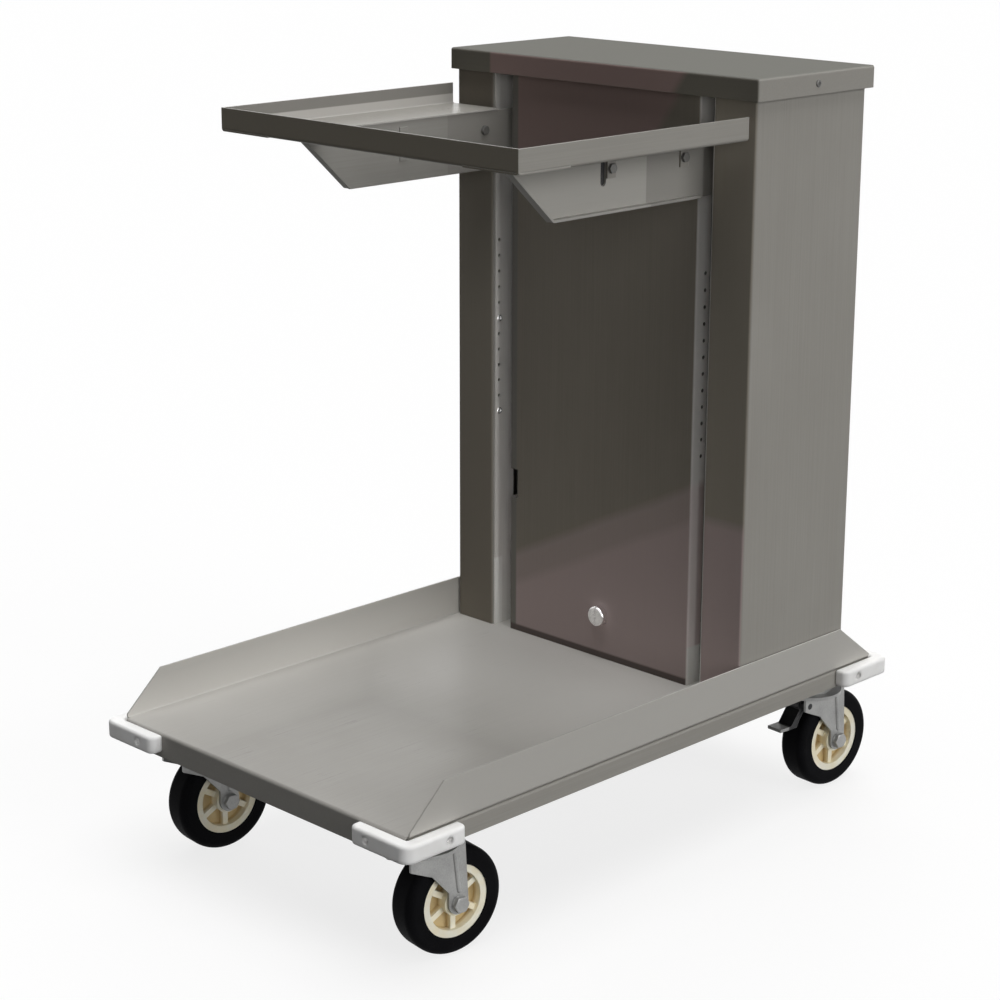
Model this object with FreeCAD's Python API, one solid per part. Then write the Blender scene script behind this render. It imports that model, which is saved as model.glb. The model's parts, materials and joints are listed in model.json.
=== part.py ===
import FreeCAD, Part
import math
import os

# Mobile cantilever tray dispenser, in millimetres.
# X is to the right, Y runs from the deck's front edge to the tower's back, Z is up from the floor.
# Lengths along Y are set out from the middle of the deck pan and shifted at the end, so that the
# whole object's box is centred on the origin.

# Deck pan
PAN_WIDTH = 490.0
PAN_LENGTH = 806.0
PAN_SHEET = 2.0
BEND_RADIUS = 2.0
WALL_HEIGHT = 50.0
FRONT_CHAMFER = 55.0
REAR_CHAMFER = 66.0
SKIRT_DROP = 30.0

# Rails and channels under the deck
RAIL_SHEET = 2.0
RAIL_HEIGHT = 22.5
RAIL_FLANGE = 14.0
CHANNEL_SHEET = 3.0
CHANNEL_WIDTH = 110.0
CHANNEL_DEPTH = 18.5
CHANNEL_END_GAP = 0.5

# Corner bumpers
BUMPER_LEG_LENGTH = 90.0
BUMPER_PROUD = 17.0
BUMPER_HEIGHT = 21.0
BUMPER_DROP = 1.5
BUMPER_CORNER_ROUND = 14.0
BUMPER_END_ROUND = 9.0
BUMPER_EDGE_ROUND = 3.0
BUMPER_SCREW_FROM_END = 26.0
BUMPER_SCREW_SINK = 6.0

# Tower
OVERALL_HEIGHT = 922.0
TOWER_DEPTH = 202.0
TOWER_REAR_SETBACK = 56.0
TOWER_SHEET = 1.5
TOWER_SIDE_GAP = 0.3
STRIP_WIDTH = 62.5
SLOT_WIDTH = 26.0
SLOT_RETURN_DEPTH = 40.0
REAR_RETURN_WIDTH = 22.0
FOOT_FLANGE_WIDTH = 30.0
FOOT_FLANGE_SETBACK = 44.0
CAP_OVERHANG = 6.5
CAP_LIP = 26.0
CAP_SHEET = 1.5
CAP_EDGE_ROUND = 3.0
CAP_SEAT_RADIUS = 7.0
HEADER_SHEET = 1.5
HEADER_LIP_COVER = 2.0
BACK_PANEL_TOP_GAP = 4.0

# Access panel and its latch
PANEL_RECESS = 6.0
PANEL_RETURN_DEPTH = 25.0
PANEL_HOLE_SETBACK = 17.0
PANEL_TOP_GAP = 7.0
NOTCH_WIDTH = 14.0
NOTCH_HEIGHT = 38.0
NOTCH_ABOVE_DECK = 179.5
LATCH_OFFSET = 8.0
LATCH_ABOVE_DECK = 56.5
KNOB_RADIUS = 13.0
KNOB_THICKNESS = 9.0
KNOB_EDGE_ROUND = 2.5
KNOB_GRIP_WIDTH = 3.0
KNOB_GRIP_DEPTH = 2.0
LATCH_SHAFT_RADIUS = 4.0
CAM_LENGTH = 30.0
CAM_WIDTH = 14.0
CAM_THICKNESS = 3.0
KEEPER_SHEET = 2.0
KEEPER_GAP = 4.0
KEEPER_WIDTH = 60.0
KEEPER_ABOVE_SHAFT = 30.0
KEEPER_FOOT = 26.0
KEEPER_SLOT_MARGIN = 2.0

# Perforated strips inside the slots
SLOT_STRIP_SHEET = 2.0
SLOT_STRIP_WIDTH = 34.0
SLOT_STRIP_SETBACK = 3.0
SLOT_STRIP_TOP_GAP = 0.5
PERFORATION_RADIUS = 2.2
PERFORATION_PITCH = 20.2
PERFORATION_COUNT = 12
PERFORATION_START_HEIGHT = 288.5
PERFORATION_SETBACK = 10.0
STRIP_SCREW_INDICES = (0, 6)

# Guide channels, brace and stops inside the tower
GUIDE_SETBACK = 109.0
GUIDE_SHEET = 3.0
GUIDE_FLANGE = 32.0
GUIDE_ABOVE_DECK = 10.0
GUIDE_TOP_GAP = 22.0
BRACE_SHEET = 2.0
BRACE_WIDTH = 30.0
BRACE_TOP_GAP = 27.0
STOP_RADIUS = 10.0
STOP_HEIGHT = 24.0
STOP_GAP = 0.5
UPPER_STOP_OFFSET = 120.0

# Tray frame
TRAY_FRAME_WIDTH = 478.0
TRAY_REACH = 380.0
TRAY_REAR_GAP = 12.0
TRAY_RIM_DROP = 42.5
TRAY_RIM_HEIGHT = 27.0
TRAY_SHEET = 2.0
TRAY_FRONT_LEDGE = 78.0
TRAY_TAB_DEPTH = 34.0
TRAY_TAB_LENGTH = 14.0
TRAY_TAB_LEAD = 6.4

# Arms and carriage
ARM_SHEET = 3.0
ARM_SIDE_GAP = 14.0
ARM_DEPTH = 72.0
ARM_NOSE_SETBACK = 47.0
ARM_NOSE_RUN = 78.0
ARM_FLANGE = 8.0
ARM_FLANGE_END_GAP = 9.0
ARM_TAIL_START = 49.0
ARM_TAIL_DEPTH = 202.0
ARM_TAIL_END = 159.0
ARM_FRONT_BOLT = 157.0
ARM_REAR_BOLT = 34.0
ARM_BOLT_DROP = 23.0
ARM_SLOT_SETBACK = 168.0
ARM_SLOT_WIDTH = 9.0
ARM_SLOT_LENGTH = 30.5
ARM_SLOT_DROP = 27.0
CARRIAGE_SHEET = 2.0
CARRIAGE_RISE = 15.5
CARRIAGE_FLANGE = 19.0
CARRIAGE_LIFT = 10.0
CARRIAGE_BOLT_INSET = 38.0

# Rollers
ROLLER_RADIUS = 19.0
ROLLER_WIDTH = 19.0
ROLLER_GUIDE_GAP = 0.6
ROLLER_DROP = 20.0
ROLLER_SPACING = 156.0
ROLLER_GROOVE = 1.5
AXLE_PIN_RADIUS = 6.0
AXLE_COLLAR_RADIUS = 10.0
AXLE_HEAD_RADIUS = 9.0
AXLE_HEAD_THICKNESS = 3.0
AXLE_WEB_GAP = 3.0
ROLLER_SIDE_GAP = 0.5

# Springs
SPRING_SETBACK = 69.0
SPRING_COUNT = 6
SPRING_PITCH = 50.0
SPRING_RADIUS = 10.0
SPRING_WIRE_RADIUS = 1.4
SPRING_HOOK_GAP = 0.3
SPRING_NECK = 10.0
HANGER_TOP_GAP = 22.0
BAR_RADIUS = 6.0
SPRING_BAR_LIFT = 22.0

# Fasteners
SCREW_RADIUS = 2.5
SCREW_HEAD_RADIUS = 4.5
SCREW_HEAD_HEIGHT = 2.0
SCREW_GRIP = 5.0
BOLT_RADIUS = 3.0
BOLT_HEAD_RADIUS = 6.0
BOLT_HEAD_HEIGHT = 4.0
BACK_SCREW_ROWS = 4
BACK_SCREW_END = 40.0
FOOT_BOLT_INSET = 18.0
FOOT_BOLT_EDGE = 9.0

# Casters
CASTER_INSET_X = 47.7
CASTER_INSET_Y = 65.0
CASTER_HEADROOM = 28.0
CASTER_TRAIL = 33.0
WHEEL_RADIUS = 63.5
WHEEL_WIDTH = 37.0
TYRE_SHOULDER = 9.0
HUB_RADIUS = 42.7
HUB_RIM = 8.5
HUB_RIM_WIDTH = 34.0
HUB_WEB = 9.0
HUB_BOSS_RADIUS = 16.0
HUB_BOSS_LENGTH = 40.0
HUB_RIBS = 6
HUB_RIB_THICKNESS = 7.0
HUB_RIB_WIDTH = 25.0
WHEEL_SIDE_GAP = 0.5
FORK_SHEET = 3.5
FORK_CROWN_RADIUS = 42.0
FORK_CROWN_BELOW_TOP = 18.0
FORK_CROWN_THICKNESS = 4.0
FORK_RACE_HEIGHT = 5.0
FORK_FRONT = 30.0
FORK_FRONT_HEIGHT = 17.0
FORK_KNEE_FORWARD = 35.0
FORK_KNEE_ABOVE_AXLE = 40.0
FORK_FOOT_HEIGHT = 15.0
FORK_BEAD_RADIUS = 2.5
FORK_BEAD_LEAN = 6.0
FORK_BACK = 42.0
FORK_EYE_RADIUS = 13.0
AXLE_BOLT_RADIUS = 6.0
AXLE_BOLT_HEAD_RADIUS = 10.0
AXLE_BOLT_HEAD_HEIGHT = 7.0
PLATE_THICKNESS = 5.0
PLATE_WIDTH = 60.0
PLATE_LENGTH = 92.0
PLATE_CORNER = 7.0
PLATE_BOLT_X = 20.0
PLATE_BOLT_Y = 36.0
RACE_RADIUS = 30.0
RACE_GAP = 0.5
KINGPIN_RADIUS = 8.0
KINGPIN_HEAD_RADIUS = 12.0
KINGPIN_HEAD_HEIGHT = 5.0
KINGPIN_HEAD_GAP = 0.3
RUNNING_GAP = 0.05

# How far each caster has turned from trailing straight back, in degrees
SWIVEL_ANGLES = {
    "front_left": -5.7,
    "front_right": -8.0,
    "rear_left": 5.0,
    "rear_right": -4.0,
}

# Brake pedals on the rear casters, placed from the swivel axis and the axle
PEDAL_PIVOT_FORWARD = 22.0
PEDAL_PIVOT_ABOVE_AXLE = 58.5
PEDAL_PIN_RADIUS = 4.0
PEDAL_WIDTH = 22.0
PEDAL_SHEET = 4.0
PEDAL_TIP_FORWARD = 61.0
PEDAL_TAB_LENGTH = 20.0
PEDAL_TAB_ABOVE_AXLE = 33.0
PEDAL_SHOE_GAP = 7.0
PEDAL_SHOE_HEIGHT = 16.0
PEDAL_TRAVEL = 12.0

V = FreeCAD.Vector
AXIS_X = V(1, 0, 0)
AXIS_Y = V(0, 1, 0)
AXIS_Z = V(0, 0, 1)
PLANES = {
    "xy": (AXIS_X, AXIS_Y, AXIS_Z),
    "xz": (AXIS_X, AXIS_Z, AXIS_Y),
    "yz": (AXIS_Y, AXIS_Z, AXIS_X),
}

# Places worked out from the sizes
CASTER_HEIGHT = WHEEL_RADIUS * 2 + CASTER_HEADROOM
DECK_HEIGHT = CASTER_HEIGHT + CHANNEL_DEPTH + PAN_SHEET
PAN_SIDE = PAN_WIDTH / 2
PAN_END = PAN_LENGTH / 2
DECK_UNDER = DECK_HEIGHT - PAN_SHEET
OUTER_BEND = BEND_RADIUS + PAN_SHEET
REAR_REACH = PAN_END - CASTER_INSET_Y + CASTER_TRAIL + WHEEL_RADIUS
FRONT_REACH = PAN_END + BUMPER_PROUD
CENTRE_SHIFT = V(0, (FRONT_REACH - REAR_REACH) / 2, 0)

TOWER_SIDE = PAN_SIDE - PAN_SHEET - BEND_RADIUS - TOWER_SIDE_GAP
TOWER_INNER = TOWER_SIDE - TOWER_SHEET
TOWER_BACK = PAN_END - TOWER_REAR_SETBACK
TOWER_FRONT = TOWER_BACK - TOWER_DEPTH
SIDE_BACK = TOWER_BACK - TOWER_SHEET
CAP_UNDER = OVERALL_HEIGHT - CAP_SHEET
SLOT_OUTER = TOWER_SIDE - STRIP_WIDTH
PANEL_SIDE = SLOT_OUTER - SLOT_WIDTH
PANEL_FRONT = TOWER_FRONT + PANEL_RECESS
PANEL_INSIDE = PANEL_FRONT + TOWER_SHEET
STRIP_HOLE_Y = TOWER_FRONT + PERFORATION_SETBACK
PANEL_HOLE_Y = PANEL_FRONT + PANEL_HOLE_SETBACK
HEADER_BOTTOM = OVERALL_HEIGHT - CAP_LIP + HEADER_LIP_COVER
STRIP_FACE = SLOT_OUTER - SLOT_STRIP_SHEET
LATCH_HEIGHT = DECK_HEIGHT + LATCH_ABOVE_DECK
CAM_FRONT = PANEL_INSIDE + KEEPER_GAP + KEEPER_SHEET + STOP_GAP

GUIDE_Y = TOWER_FRONT + GUIDE_SETBACK
GUIDE_HALF = ROLLER_RADIUS + ROLLER_GUIDE_GAP
GUIDE_WEB_FACE = TOWER_INNER - GUIDE_SHEET
BRACE_TOP = OVERALL_HEIGHT - BRACE_TOP_GAP
BRACE_UNDER = BRACE_TOP - BRACE_SHEET

ARM_OUTER = STRIP_FACE - ARM_SIDE_GAP
ARM_INNER = ARM_OUTER - ARM_SHEET
RIM_TOP = OVERALL_HEIGHT - TRAY_RIM_DROP
ARM_TOP = RIM_TOP - TRAY_RIM_HEIGHT
ARM_BOTTOM = ARM_TOP - ARM_DEPTH
TAIL_BOTTOM = ARM_TOP - ARM_TAIL_DEPTH
TAIL_FRONT = TOWER_FRONT + ARM_TAIL_START
TAIL_BACK = TOWER_FRONT + ARM_TAIL_END
TRAY_SIDE = TRAY_FRAME_WIDTH / 2
TRAY_FRONT = TOWER_FRONT - TRAY_REACH
TRAY_REAR = TOWER_FRONT - TRAY_REAR_GAP
LEDGE_INNER = ARM_INNER - TRAY_SHEET
TAB_OUTER = ARM_OUTER + TRAY_SHEET
FLANGE_INNER = ARM_INNER - CARRIAGE_SHEET
CARRIAGE_TOP = ARM_TOP + CARRIAGE_RISE
CARRIAGE_BOTTOM = TAIL_BOTTOM + CARRIAGE_LIFT
CARRIAGE_FRONT = TAIL_BACK - CARRIAGE_SHEET - CARRIAGE_FLANGE
STOP_Y = CARRIAGE_FRONT + CARRIAGE_FLANGE / 2
TRAVEL = TAIL_BOTTOM - DECK_HEIGHT - STOP_HEIGHT - STOP_GAP
ROLLER_HEIGHTS = {
    "upper": ARM_TOP - ROLLER_DROP,
    "lower": ARM_TOP - ROLLER_DROP - ROLLER_SPACING,
}
ROLLER_OUTER = GUIDE_WEB_FACE - AXLE_WEB_GAP - AXLE_HEAD_THICKNESS - ROLLER_SIDE_GAP
ROLLER_INNER = ROLLER_OUTER - ROLLER_WIDTH

SPRING_Y = TOWER_FRONT + SPRING_SETBACK
HANGER_Z = OVERALL_HEIGHT - HANGER_TOP_GAP
SPRING_BAR_Z = TAIL_BOTTOM + SPRING_BAR_LIFT

CASTER_X = PAN_SIDE - CASTER_INSET_X
CASTER_Y = PAN_END - CASTER_INSET_Y
PLATE_UNDER = CASTER_HEIGHT - PLATE_THICKNESS
CROWN_TOP = CASTER_HEIGHT - FORK_CROWN_BELOW_TOP
CROWN_UNDER = CROWN_TOP - FORK_CROWN_THICKNESS
LEG_INNER = HUB_BOSS_LENGTH / 2 + WHEEL_SIDE_GAP
LEG_OUTER = LEG_INNER + FORK_SHEET
PEDAL_PIVOT_Z = WHEEL_RADIUS + PEDAL_PIVOT_ABOVE_AXLE
CASTERS = {
    "front_left": (-CASTER_X, -CASTER_Y),
    "front_right": (CASTER_X, -CASTER_Y),
    "rear_left": (-CASTER_X, CASTER_Y),
    "rear_right": (CASTER_X, CASTER_Y),
}
BRAKED = ("rear_left", "rear_right")
SIDES = {"left": -1, "right": 1}


# Shared shapes

def box(x, y, z):
    """A block between the given pairs of limits."""
    low = V(min(x), min(y), min(z))
    return Part.makeBox(max(x) - low.x, max(y) - low.y, max(z) - low.z, low)


def rod(radius, start, end):
    """A round bar from one point to another."""
    along = end - start
    return Part.makeCylinder(radius, along.Length, start, along)


def mirrored(shape):
    """The same shape on the other side of the middle plane."""
    return shape.mirror(V(0, 0, 0), AXIS_X)


def joined(shapes):
    """One solid made from touching or overlapping shapes."""
    return shapes[0].fuse(shapes[1:]).removeSplitter()


def on_plane(plane, point, depth):
    across, up, normal = PLANES[plane]
    return across * point[0] + up * point[1] + normal * depth


def corner(before, here, after):
    """Directions into and out of a corner, and how far it turns, left positive."""
    inward = V(here[0] - before[0], here[1] - before[1], 0).normalize()
    outward = V(after[0] - here[0], after[1] - here[1], 0).normalize()
    turn = math.atan2(inward.cross(outward).z, inward.dot(outward))
    return inward, outward, turn


def rounded_path(plane, points, radii, depth):
    """Edges along an open path, with an arc of its own radius at each inner corner."""
    edges = []
    here = points[0]
    for before, point, after, radius in zip(points, points[1:], points[2:], radii):
        inward, outward, turn = corner(before, point, after)
        reach = radius * math.tan(abs(turn) / 2)
        middle = (outward - inward).normalize() * (radius / math.cos(turn / 2) - radius)
        start = (point[0] - inward.x * reach, point[1] - inward.y * reach)
        bend = (point[0] + middle.x, point[1] + middle.y)
        end = (point[0] + outward.x * reach, point[1] + outward.y * reach)
        edges.append(Part.makeLine(on_plane(plane, here, depth), on_plane(plane, start, depth)))
        arc = [on_plane(plane, p, depth) for p in (start, bend, end)]
        edges.append(Part.Arc(*arc).toShape())
        here = end
    edges.append(Part.makeLine(on_plane(plane, here, depth), on_plane(plane, points[-1], depth)))
    return edges


def beside(points, distance):
    """The path that runs a set distance to the left of an open path."""
    left = []
    for start, end in zip(points, points[1:]):
        step = V(end[0] - start[0], end[1] - start[1], 0).normalize()
        left.append(V(-step.y, step.x, 0))
    shifts = [left[0] * distance]
    for first, second in zip(left, left[1:]):
        shifts.append((first + second) * (distance / (1 + first.dot(second))))
    shifts.append(left[-1] * distance)
    return [(point[0] + shift.x, point[1] + shift.y) for point, shift in zip(points, shifts)]


def folded(plane, points, sheet, start, end):
    """Sheet metal folded along an open path, its thickness to the left of the path."""
    other = beside(points, sheet)
    turns = [corner(*trio)[2] for trio in zip(points, points[1:], points[2:])]
    near = [BEND_RADIUS + (sheet if turn > 0 else 0) for turn in turns]
    far = [BEND_RADIUS + (0 if turn > 0 else sheet) for turn in turns]
    edges = rounded_path(plane, points, near, start)
    edges.append(Part.makeLine(on_plane(plane, points[-1], start), on_plane(plane, other[-1], start)))
    edges += rounded_path(plane, other[::-1], far[::-1], start)
    edges.append(Part.makeLine(on_plane(plane, other[0], start), on_plane(plane, points[0], start)))
    face = Part.Face(Part.Wire(edges))
    return face.extrude(PLANES[plane][2] * (end - start))


def prism(plane, points, start, end):
    """A straight-sided plate with the given outline."""
    corners = [on_plane(plane, point, start) for point in points + points[:1]]
    face = Part.Face(Part.makePolygon(corners))
    return face.extrude(PLANES[plane][2] * (end - start))


def round_prism(plane, points, radii, start, end):
    """A plate whose outline has rounded corners; it starts and ends half way along its last side."""
    middle = tuple((first + last) / 2 for first, last in zip(points[0], points[-1]))
    edges = rounded_path(plane, [middle] + points + [middle], radii, start)
    face = Part.Face(Part.Wire(edges))
    return face.extrude(PLANES[plane][2] * (end - start))


def hexagon(radius, start, end):
    """A hexagonal head or nut from one point to another."""
    along = end - start
    side = V(-along.y, along.x, 0) if abs(along.z) < along.Length / 2 else V(along.z, 0, 0)
    side = side.normalize() * radius
    turn = FreeCAD.Rotation(along, 60)
    points = []
    for _ in range(6):
        points.append(start + side)
        side = turn.multVec(side)
    face = Part.Face(Part.makePolygon(points + points[:1]))
    return face.extrude(along)


def drilled(shape, holes):
    """The shape with round holes; each hole is a start, an end and a radius."""
    tools = [rod(radius, start, end) for start, end, radius in holes]
    return shape.cut(tools)


def solids_of(shapes):
    """Several separate pieces kept together as one group."""
    return Part.makeCompound(shapes)


def pan_head_screw(face, outward, grip):
    """A screw whose head stands on a face point and whose shank runs in behind it."""
    head = rod(SCREW_HEAD_RADIUS, face, face + outward * SCREW_HEAD_HEIGHT)
    shank = rod(SCREW_RADIUS, face, face - outward * grip)
    return joined([head, shank])


def hex_bolt(face, outward, grip):
    """A bolt through a stack of plates: head on one face, nut on the other."""
    back = face - outward * grip
    head = hexagon(BOLT_HEAD_RADIUS, face, face + outward * BOLT_HEAD_HEIGHT)
    nut = hexagon(BOLT_HEAD_RADIUS, back, back - outward * BOLT_HEAD_HEIGHT)
    return joined([head, rod(BOLT_RADIUS, face, back), nut])


# Deck pan and underframe

def deck_pan():
    """Deck turned down at front and rear, with walls folded up along its sides."""
    edge = PAN_SIDE - OUTER_BEND
    skirt_bottom = DECK_HEIGHT - SKIRT_DROP
    path = [
        (PAN_END, skirt_bottom),
        (PAN_END, DECK_HEIGHT),
        (-PAN_END, DECK_HEIGHT),
        (-PAN_END, skirt_bottom),
    ]
    deck = folded("yz", path, PAN_SHEET, -edge, edge)
    wall_top = DECK_HEIGHT + WALL_HEIGHT
    fold = [(edge - OUTER_BEND, DECK_UNDER), (PAN_SIDE, DECK_UNDER), (PAN_SIDE, wall_top)]
    wall = folded("xz", fold, PAN_SHEET, -PAN_END + OUTER_BEND, PAN_END - OUTER_BEND)
    for end, chamfer in ((-PAN_END, FRONT_CHAMFER), (PAN_END, -REAR_CHAMFER)):
        above = wall_top + WALL_HEIGHT
        waste = [(end, DECK_HEIGHT), (end + chamfer, wall_top), (end + chamfer, above), (end, above)]
        wall = wall.cut(prism("yz", waste, 0, PAN_WIDTH))
    pan = joined([deck, wall, mirrored(wall)])
    holes = [bumper_screw_hole(face, outward) for face, outward in bumper_screw_spots()]
    holes += [foot_bolt_hole(spot) for spot in foot_bolt_spots()]
    return drilled(pan, holes)


def side_rail(side):
    """Angle under the deck's edge whose outer face shows below the wall."""
    bottom = DECK_UNDER - RAIL_HEIGHT
    path = [(PAN_SIDE, bottom), (PAN_SIDE, DECK_UNDER), (PAN_SIDE - RAIL_FLANGE, DECK_UNDER)]
    end = PAN_END - OUTER_BEND
    rail = folded("xz", path, RAIL_SHEET, -end, end)
    rail = rail if SIDES[side] > 0 else mirrored(rail)
    holes = [bumper_screw_hole(face, outward) for face, outward in bumper_screw_spots()]
    return drilled(rail, holes)


def cross_channel(y):
    """Channel across the underside that carries a pair of casters on its web."""
    near = y - CHANNEL_WIDTH / 2
    far = y + CHANNEL_WIDTH / 2
    end = PAN_SIDE - RAIL_FLANGE - CHANNEL_END_GAP
    path = [(near, DECK_UNDER), (near, CASTER_HEIGHT), (far, CASTER_HEIGHT), (far, DECK_UNDER)]
    channel = folded("yz", path, CHANNEL_SHEET, -end, end)
    holes = []
    for spot in plate_bolt_spots():
        holes.append((spot, spot + AXIS_Z * CHANNEL_SHEET * 2, BOLT_RADIUS))
    return drilled(channel, holes)


def bumper(x_sign, y_sign):
    """L-shaped bumper round one corner of the deck."""
    top = DECK_HEIGHT - BUMPER_DROP
    proud_x = PAN_SIDE + BUMPER_PROUD
    proud_y = PAN_END + BUMPER_PROUD
    outline = [
        (PAN_SIDE, PAN_END),
        (PAN_SIDE, proud_y - BUMPER_LEG_LENGTH),
        (proud_x, proud_y - BUMPER_LEG_LENGTH),
        (proud_x, proud_y),
        (proud_x - BUMPER_LEG_LENGTH, proud_y),
        (proud_x - BUMPER_LEG_LENGTH, PAN_END),
    ]
    radii = [BEND_RADIUS, BEND_RADIUS, BUMPER_END_ROUND, BUMPER_CORNER_ROUND, BUMPER_END_ROUND, BEND_RADIUS]
    block = round_prism("xy", outline, radii, top - BUMPER_HEIGHT, top)
    outer = []
    for edge in block.Edges:
        level = edge.BoundBox.ZLength < BEND_RADIUS / 100
        centre = edge.CenterOfMass
        outside = centre.x > PAN_SIDE + BEND_RADIUS and centre.y > proud_y - BUMPER_LEG_LENGTH
        beyond = centre.y > PAN_END + BEND_RADIUS and centre.x > proud_x - BUMPER_LEG_LENGTH
        if level and (outside or beyond):
            outer.append(edge)
    block = block.makeFillet(BUMPER_EDGE_ROUND, outer)
    turned = FreeCAD.Matrix()
    turned.scale(x_sign, y_sign, 1)
    block = block.transformGeometry(turned)
    holes = []
    for face, outward in bumper_screw_spots():
        holes.append(bumper_screw_hole(face, outward))
        proud = face + outward * BUMPER_PROUD
        holes.append((proud, face + outward * (BUMPER_PROUD - BUMPER_SCREW_SINK), SCREW_HEAD_RADIUS))
    return drilled(block, holes)


def bumper_screw_spots():
    """Points on the deck's outside where the bumper screws go in, each with its outward direction."""
    height = DECK_HEIGHT - BUMPER_DROP - BUMPER_HEIGHT / 2
    spots = []
    for x_sign in (-1, 1):
        for y_sign in (-1, 1):
            across = PAN_SIDE + BUMPER_PROUD - BUMPER_LEG_LENGTH + BUMPER_SCREW_FROM_END
            along = PAN_END + BUMPER_PROUD - BUMPER_LEG_LENGTH + BUMPER_SCREW_FROM_END
            spots.append((V(x_sign * across, y_sign * PAN_END, height), V(0, y_sign, 0)))
            spots.append((V(x_sign * PAN_SIDE, y_sign * along, height), V(x_sign, 0, 0)))
    return spots


def bumper_screw_hole(face, outward):
    return (face + outward * BUMPER_PROUD, face - outward * SCREW_GRIP, SCREW_RADIUS)


def bumper_screws():
    """Screws sunk into the bumpers and held in the deck's skirt and side rails."""
    screws = []
    for face, outward in bumper_screw_spots():
        seat = face + outward * (BUMPER_PROUD - BUMPER_SCREW_SINK)
        grip = BUMPER_PROUD - BUMPER_SCREW_SINK + SCREW_GRIP
        screws.append(pan_head_screw(seat, outward, grip))
    return solids_of(screws)


# Tower

def tower_side(side):
    """Side sheet wrapped round to the front strip and the slot's return, with a foot and a rear return."""
    path = [
        (SLOT_OUTER, TOWER_FRONT + SLOT_RETURN_DEPTH),
        (SLOT_OUTER, TOWER_FRONT),
        (TOWER_SIDE, TOWER_FRONT),
        (TOWER_SIDE, SIDE_BACK),
        (TOWER_SIDE - REAR_RETURN_WIDTH, SIDE_BACK),
    ]
    wrap = folded("xy", path, TOWER_SHEET, DECK_HEIGHT, CAP_UNDER)
    foot = box(
        (TOWER_INNER - FOOT_FLANGE_WIDTH, TOWER_INNER),
        (TOWER_FRONT + FOOT_FLANGE_SETBACK, SIDE_BACK - OUTER_BEND),
        (DECK_HEIGHT, DECK_HEIGHT + TOWER_SHEET),
    )
    wrap = joined([wrap, foot])
    wrap = wrap if SIDES[side] > 0 else mirrored(wrap)
    holes = [foot_bolt_hole(spot) for spot in foot_bolt_spots()]
    holes += perforations(SIDES[side] * ARM_OUTER, SIDES[side] * (SLOT_OUTER + SLOT_WIDTH), STRIP_HOLE_Y)
    holes += [screw_hole(face, outward) for face, outward in back_screw_spots()]
    holes += [screw_hole(face, outward, CAP_OVERHANG) for face, outward in cap_screw_spots()]
    holes += [screw_hole(face, outward) for face, outward in hanger_screw_spots()]
    return drilled(wrap, holes)


def perforations(x_from, x_to, y):
    """Row of round holes through a slot's wall; the strip screws use two of them."""
    holes = []
    for index in range(PERFORATION_COUNT):
        z = DECK_HEIGHT + PERFORATION_START_HEIGHT + index * PERFORATION_PITCH
        radius = SCREW_RADIUS if index in STRIP_SCREW_INDICES else PERFORATION_RADIUS
        holes.append((V(x_from, y, z), V(x_to, y, z), radius))
    return holes


def screw_hole(face, outward, extra=0):
    return (face + outward, face - outward * (SCREW_GRIP + extra), SCREW_RADIUS)


def back_screw_spots():
    """Screws down both edges of the back panel."""
    low = DECK_HEIGHT + BACK_SCREW_END
    high = OVERALL_HEIGHT - CAP_LIP - BACK_SCREW_END
    x = TOWER_SIDE - REAR_RETURN_WIDTH / 2
    spots = []
    for x_sign in (-1, 1):
        for row in range(BACK_SCREW_ROWS):
            z = low + (high - low) * row / (BACK_SCREW_ROWS - 1)
            spots.append((V(x_sign * x, TOWER_BACK, z), AXIS_Y))
    return spots


def cap_screw_spots():
    """Screws through the cap's lip, half way along each side."""
    z = OVERALL_HEIGHT - CAP_LIP / 2
    y = (TOWER_FRONT + TOWER_BACK) / 2
    x = TOWER_SIDE + CAP_OVERHANG
    return [(V(x_sign * x, y, z), V(x_sign, 0, 0)) for x_sign in (-1, 1)]


def hanger_screw_spots():
    """Screws through the tower's sides into the ends of the hanger bar."""
    return [(V(x_sign * TOWER_SIDE, SPRING_Y, HANGER_Z), V(x_sign, 0, 0)) for x_sign in (-1, 1)]


def strip_screw_spots():
    """Bright screws on the perforated strips, in two of the row's holes."""
    spots = []
    for x_sign in (-1, 1):
        for index in STRIP_SCREW_INDICES:
            z = DECK_HEIGHT + PERFORATION_START_HEIGHT + index * PERFORATION_PITCH
            spots.append((V(x_sign * STRIP_FACE, STRIP_HOLE_Y, z), V(-x_sign, 0, 0)))
    return spots


def tower_screws():
    """The tower's small screws: back panel, cap, hanger bar and slot strips."""
    screws = []
    for face, outward in back_screw_spots() + hanger_screw_spots() + strip_screw_spots():
        screws.append(pan_head_screw(face, outward, SCREW_GRIP))
    for face, outward in cap_screw_spots():
        screws.append(pan_head_screw(face, outward, SCREW_GRIP + CAP_OVERHANG))
    return solids_of(screws)


def tower_back_panel():
    """Flat sheet screwed on to the rear returns of the sides."""
    side = TOWER_SIDE - OUTER_BEND
    panel = box((-side, side), (SIDE_BACK, TOWER_BACK), (DECK_HEIGHT, CAP_UNDER - BACK_PANEL_TOP_GAP))
    holes = [screw_hole(face, outward) for face, outward in back_screw_spots()]
    return drilled(panel, holes)


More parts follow.
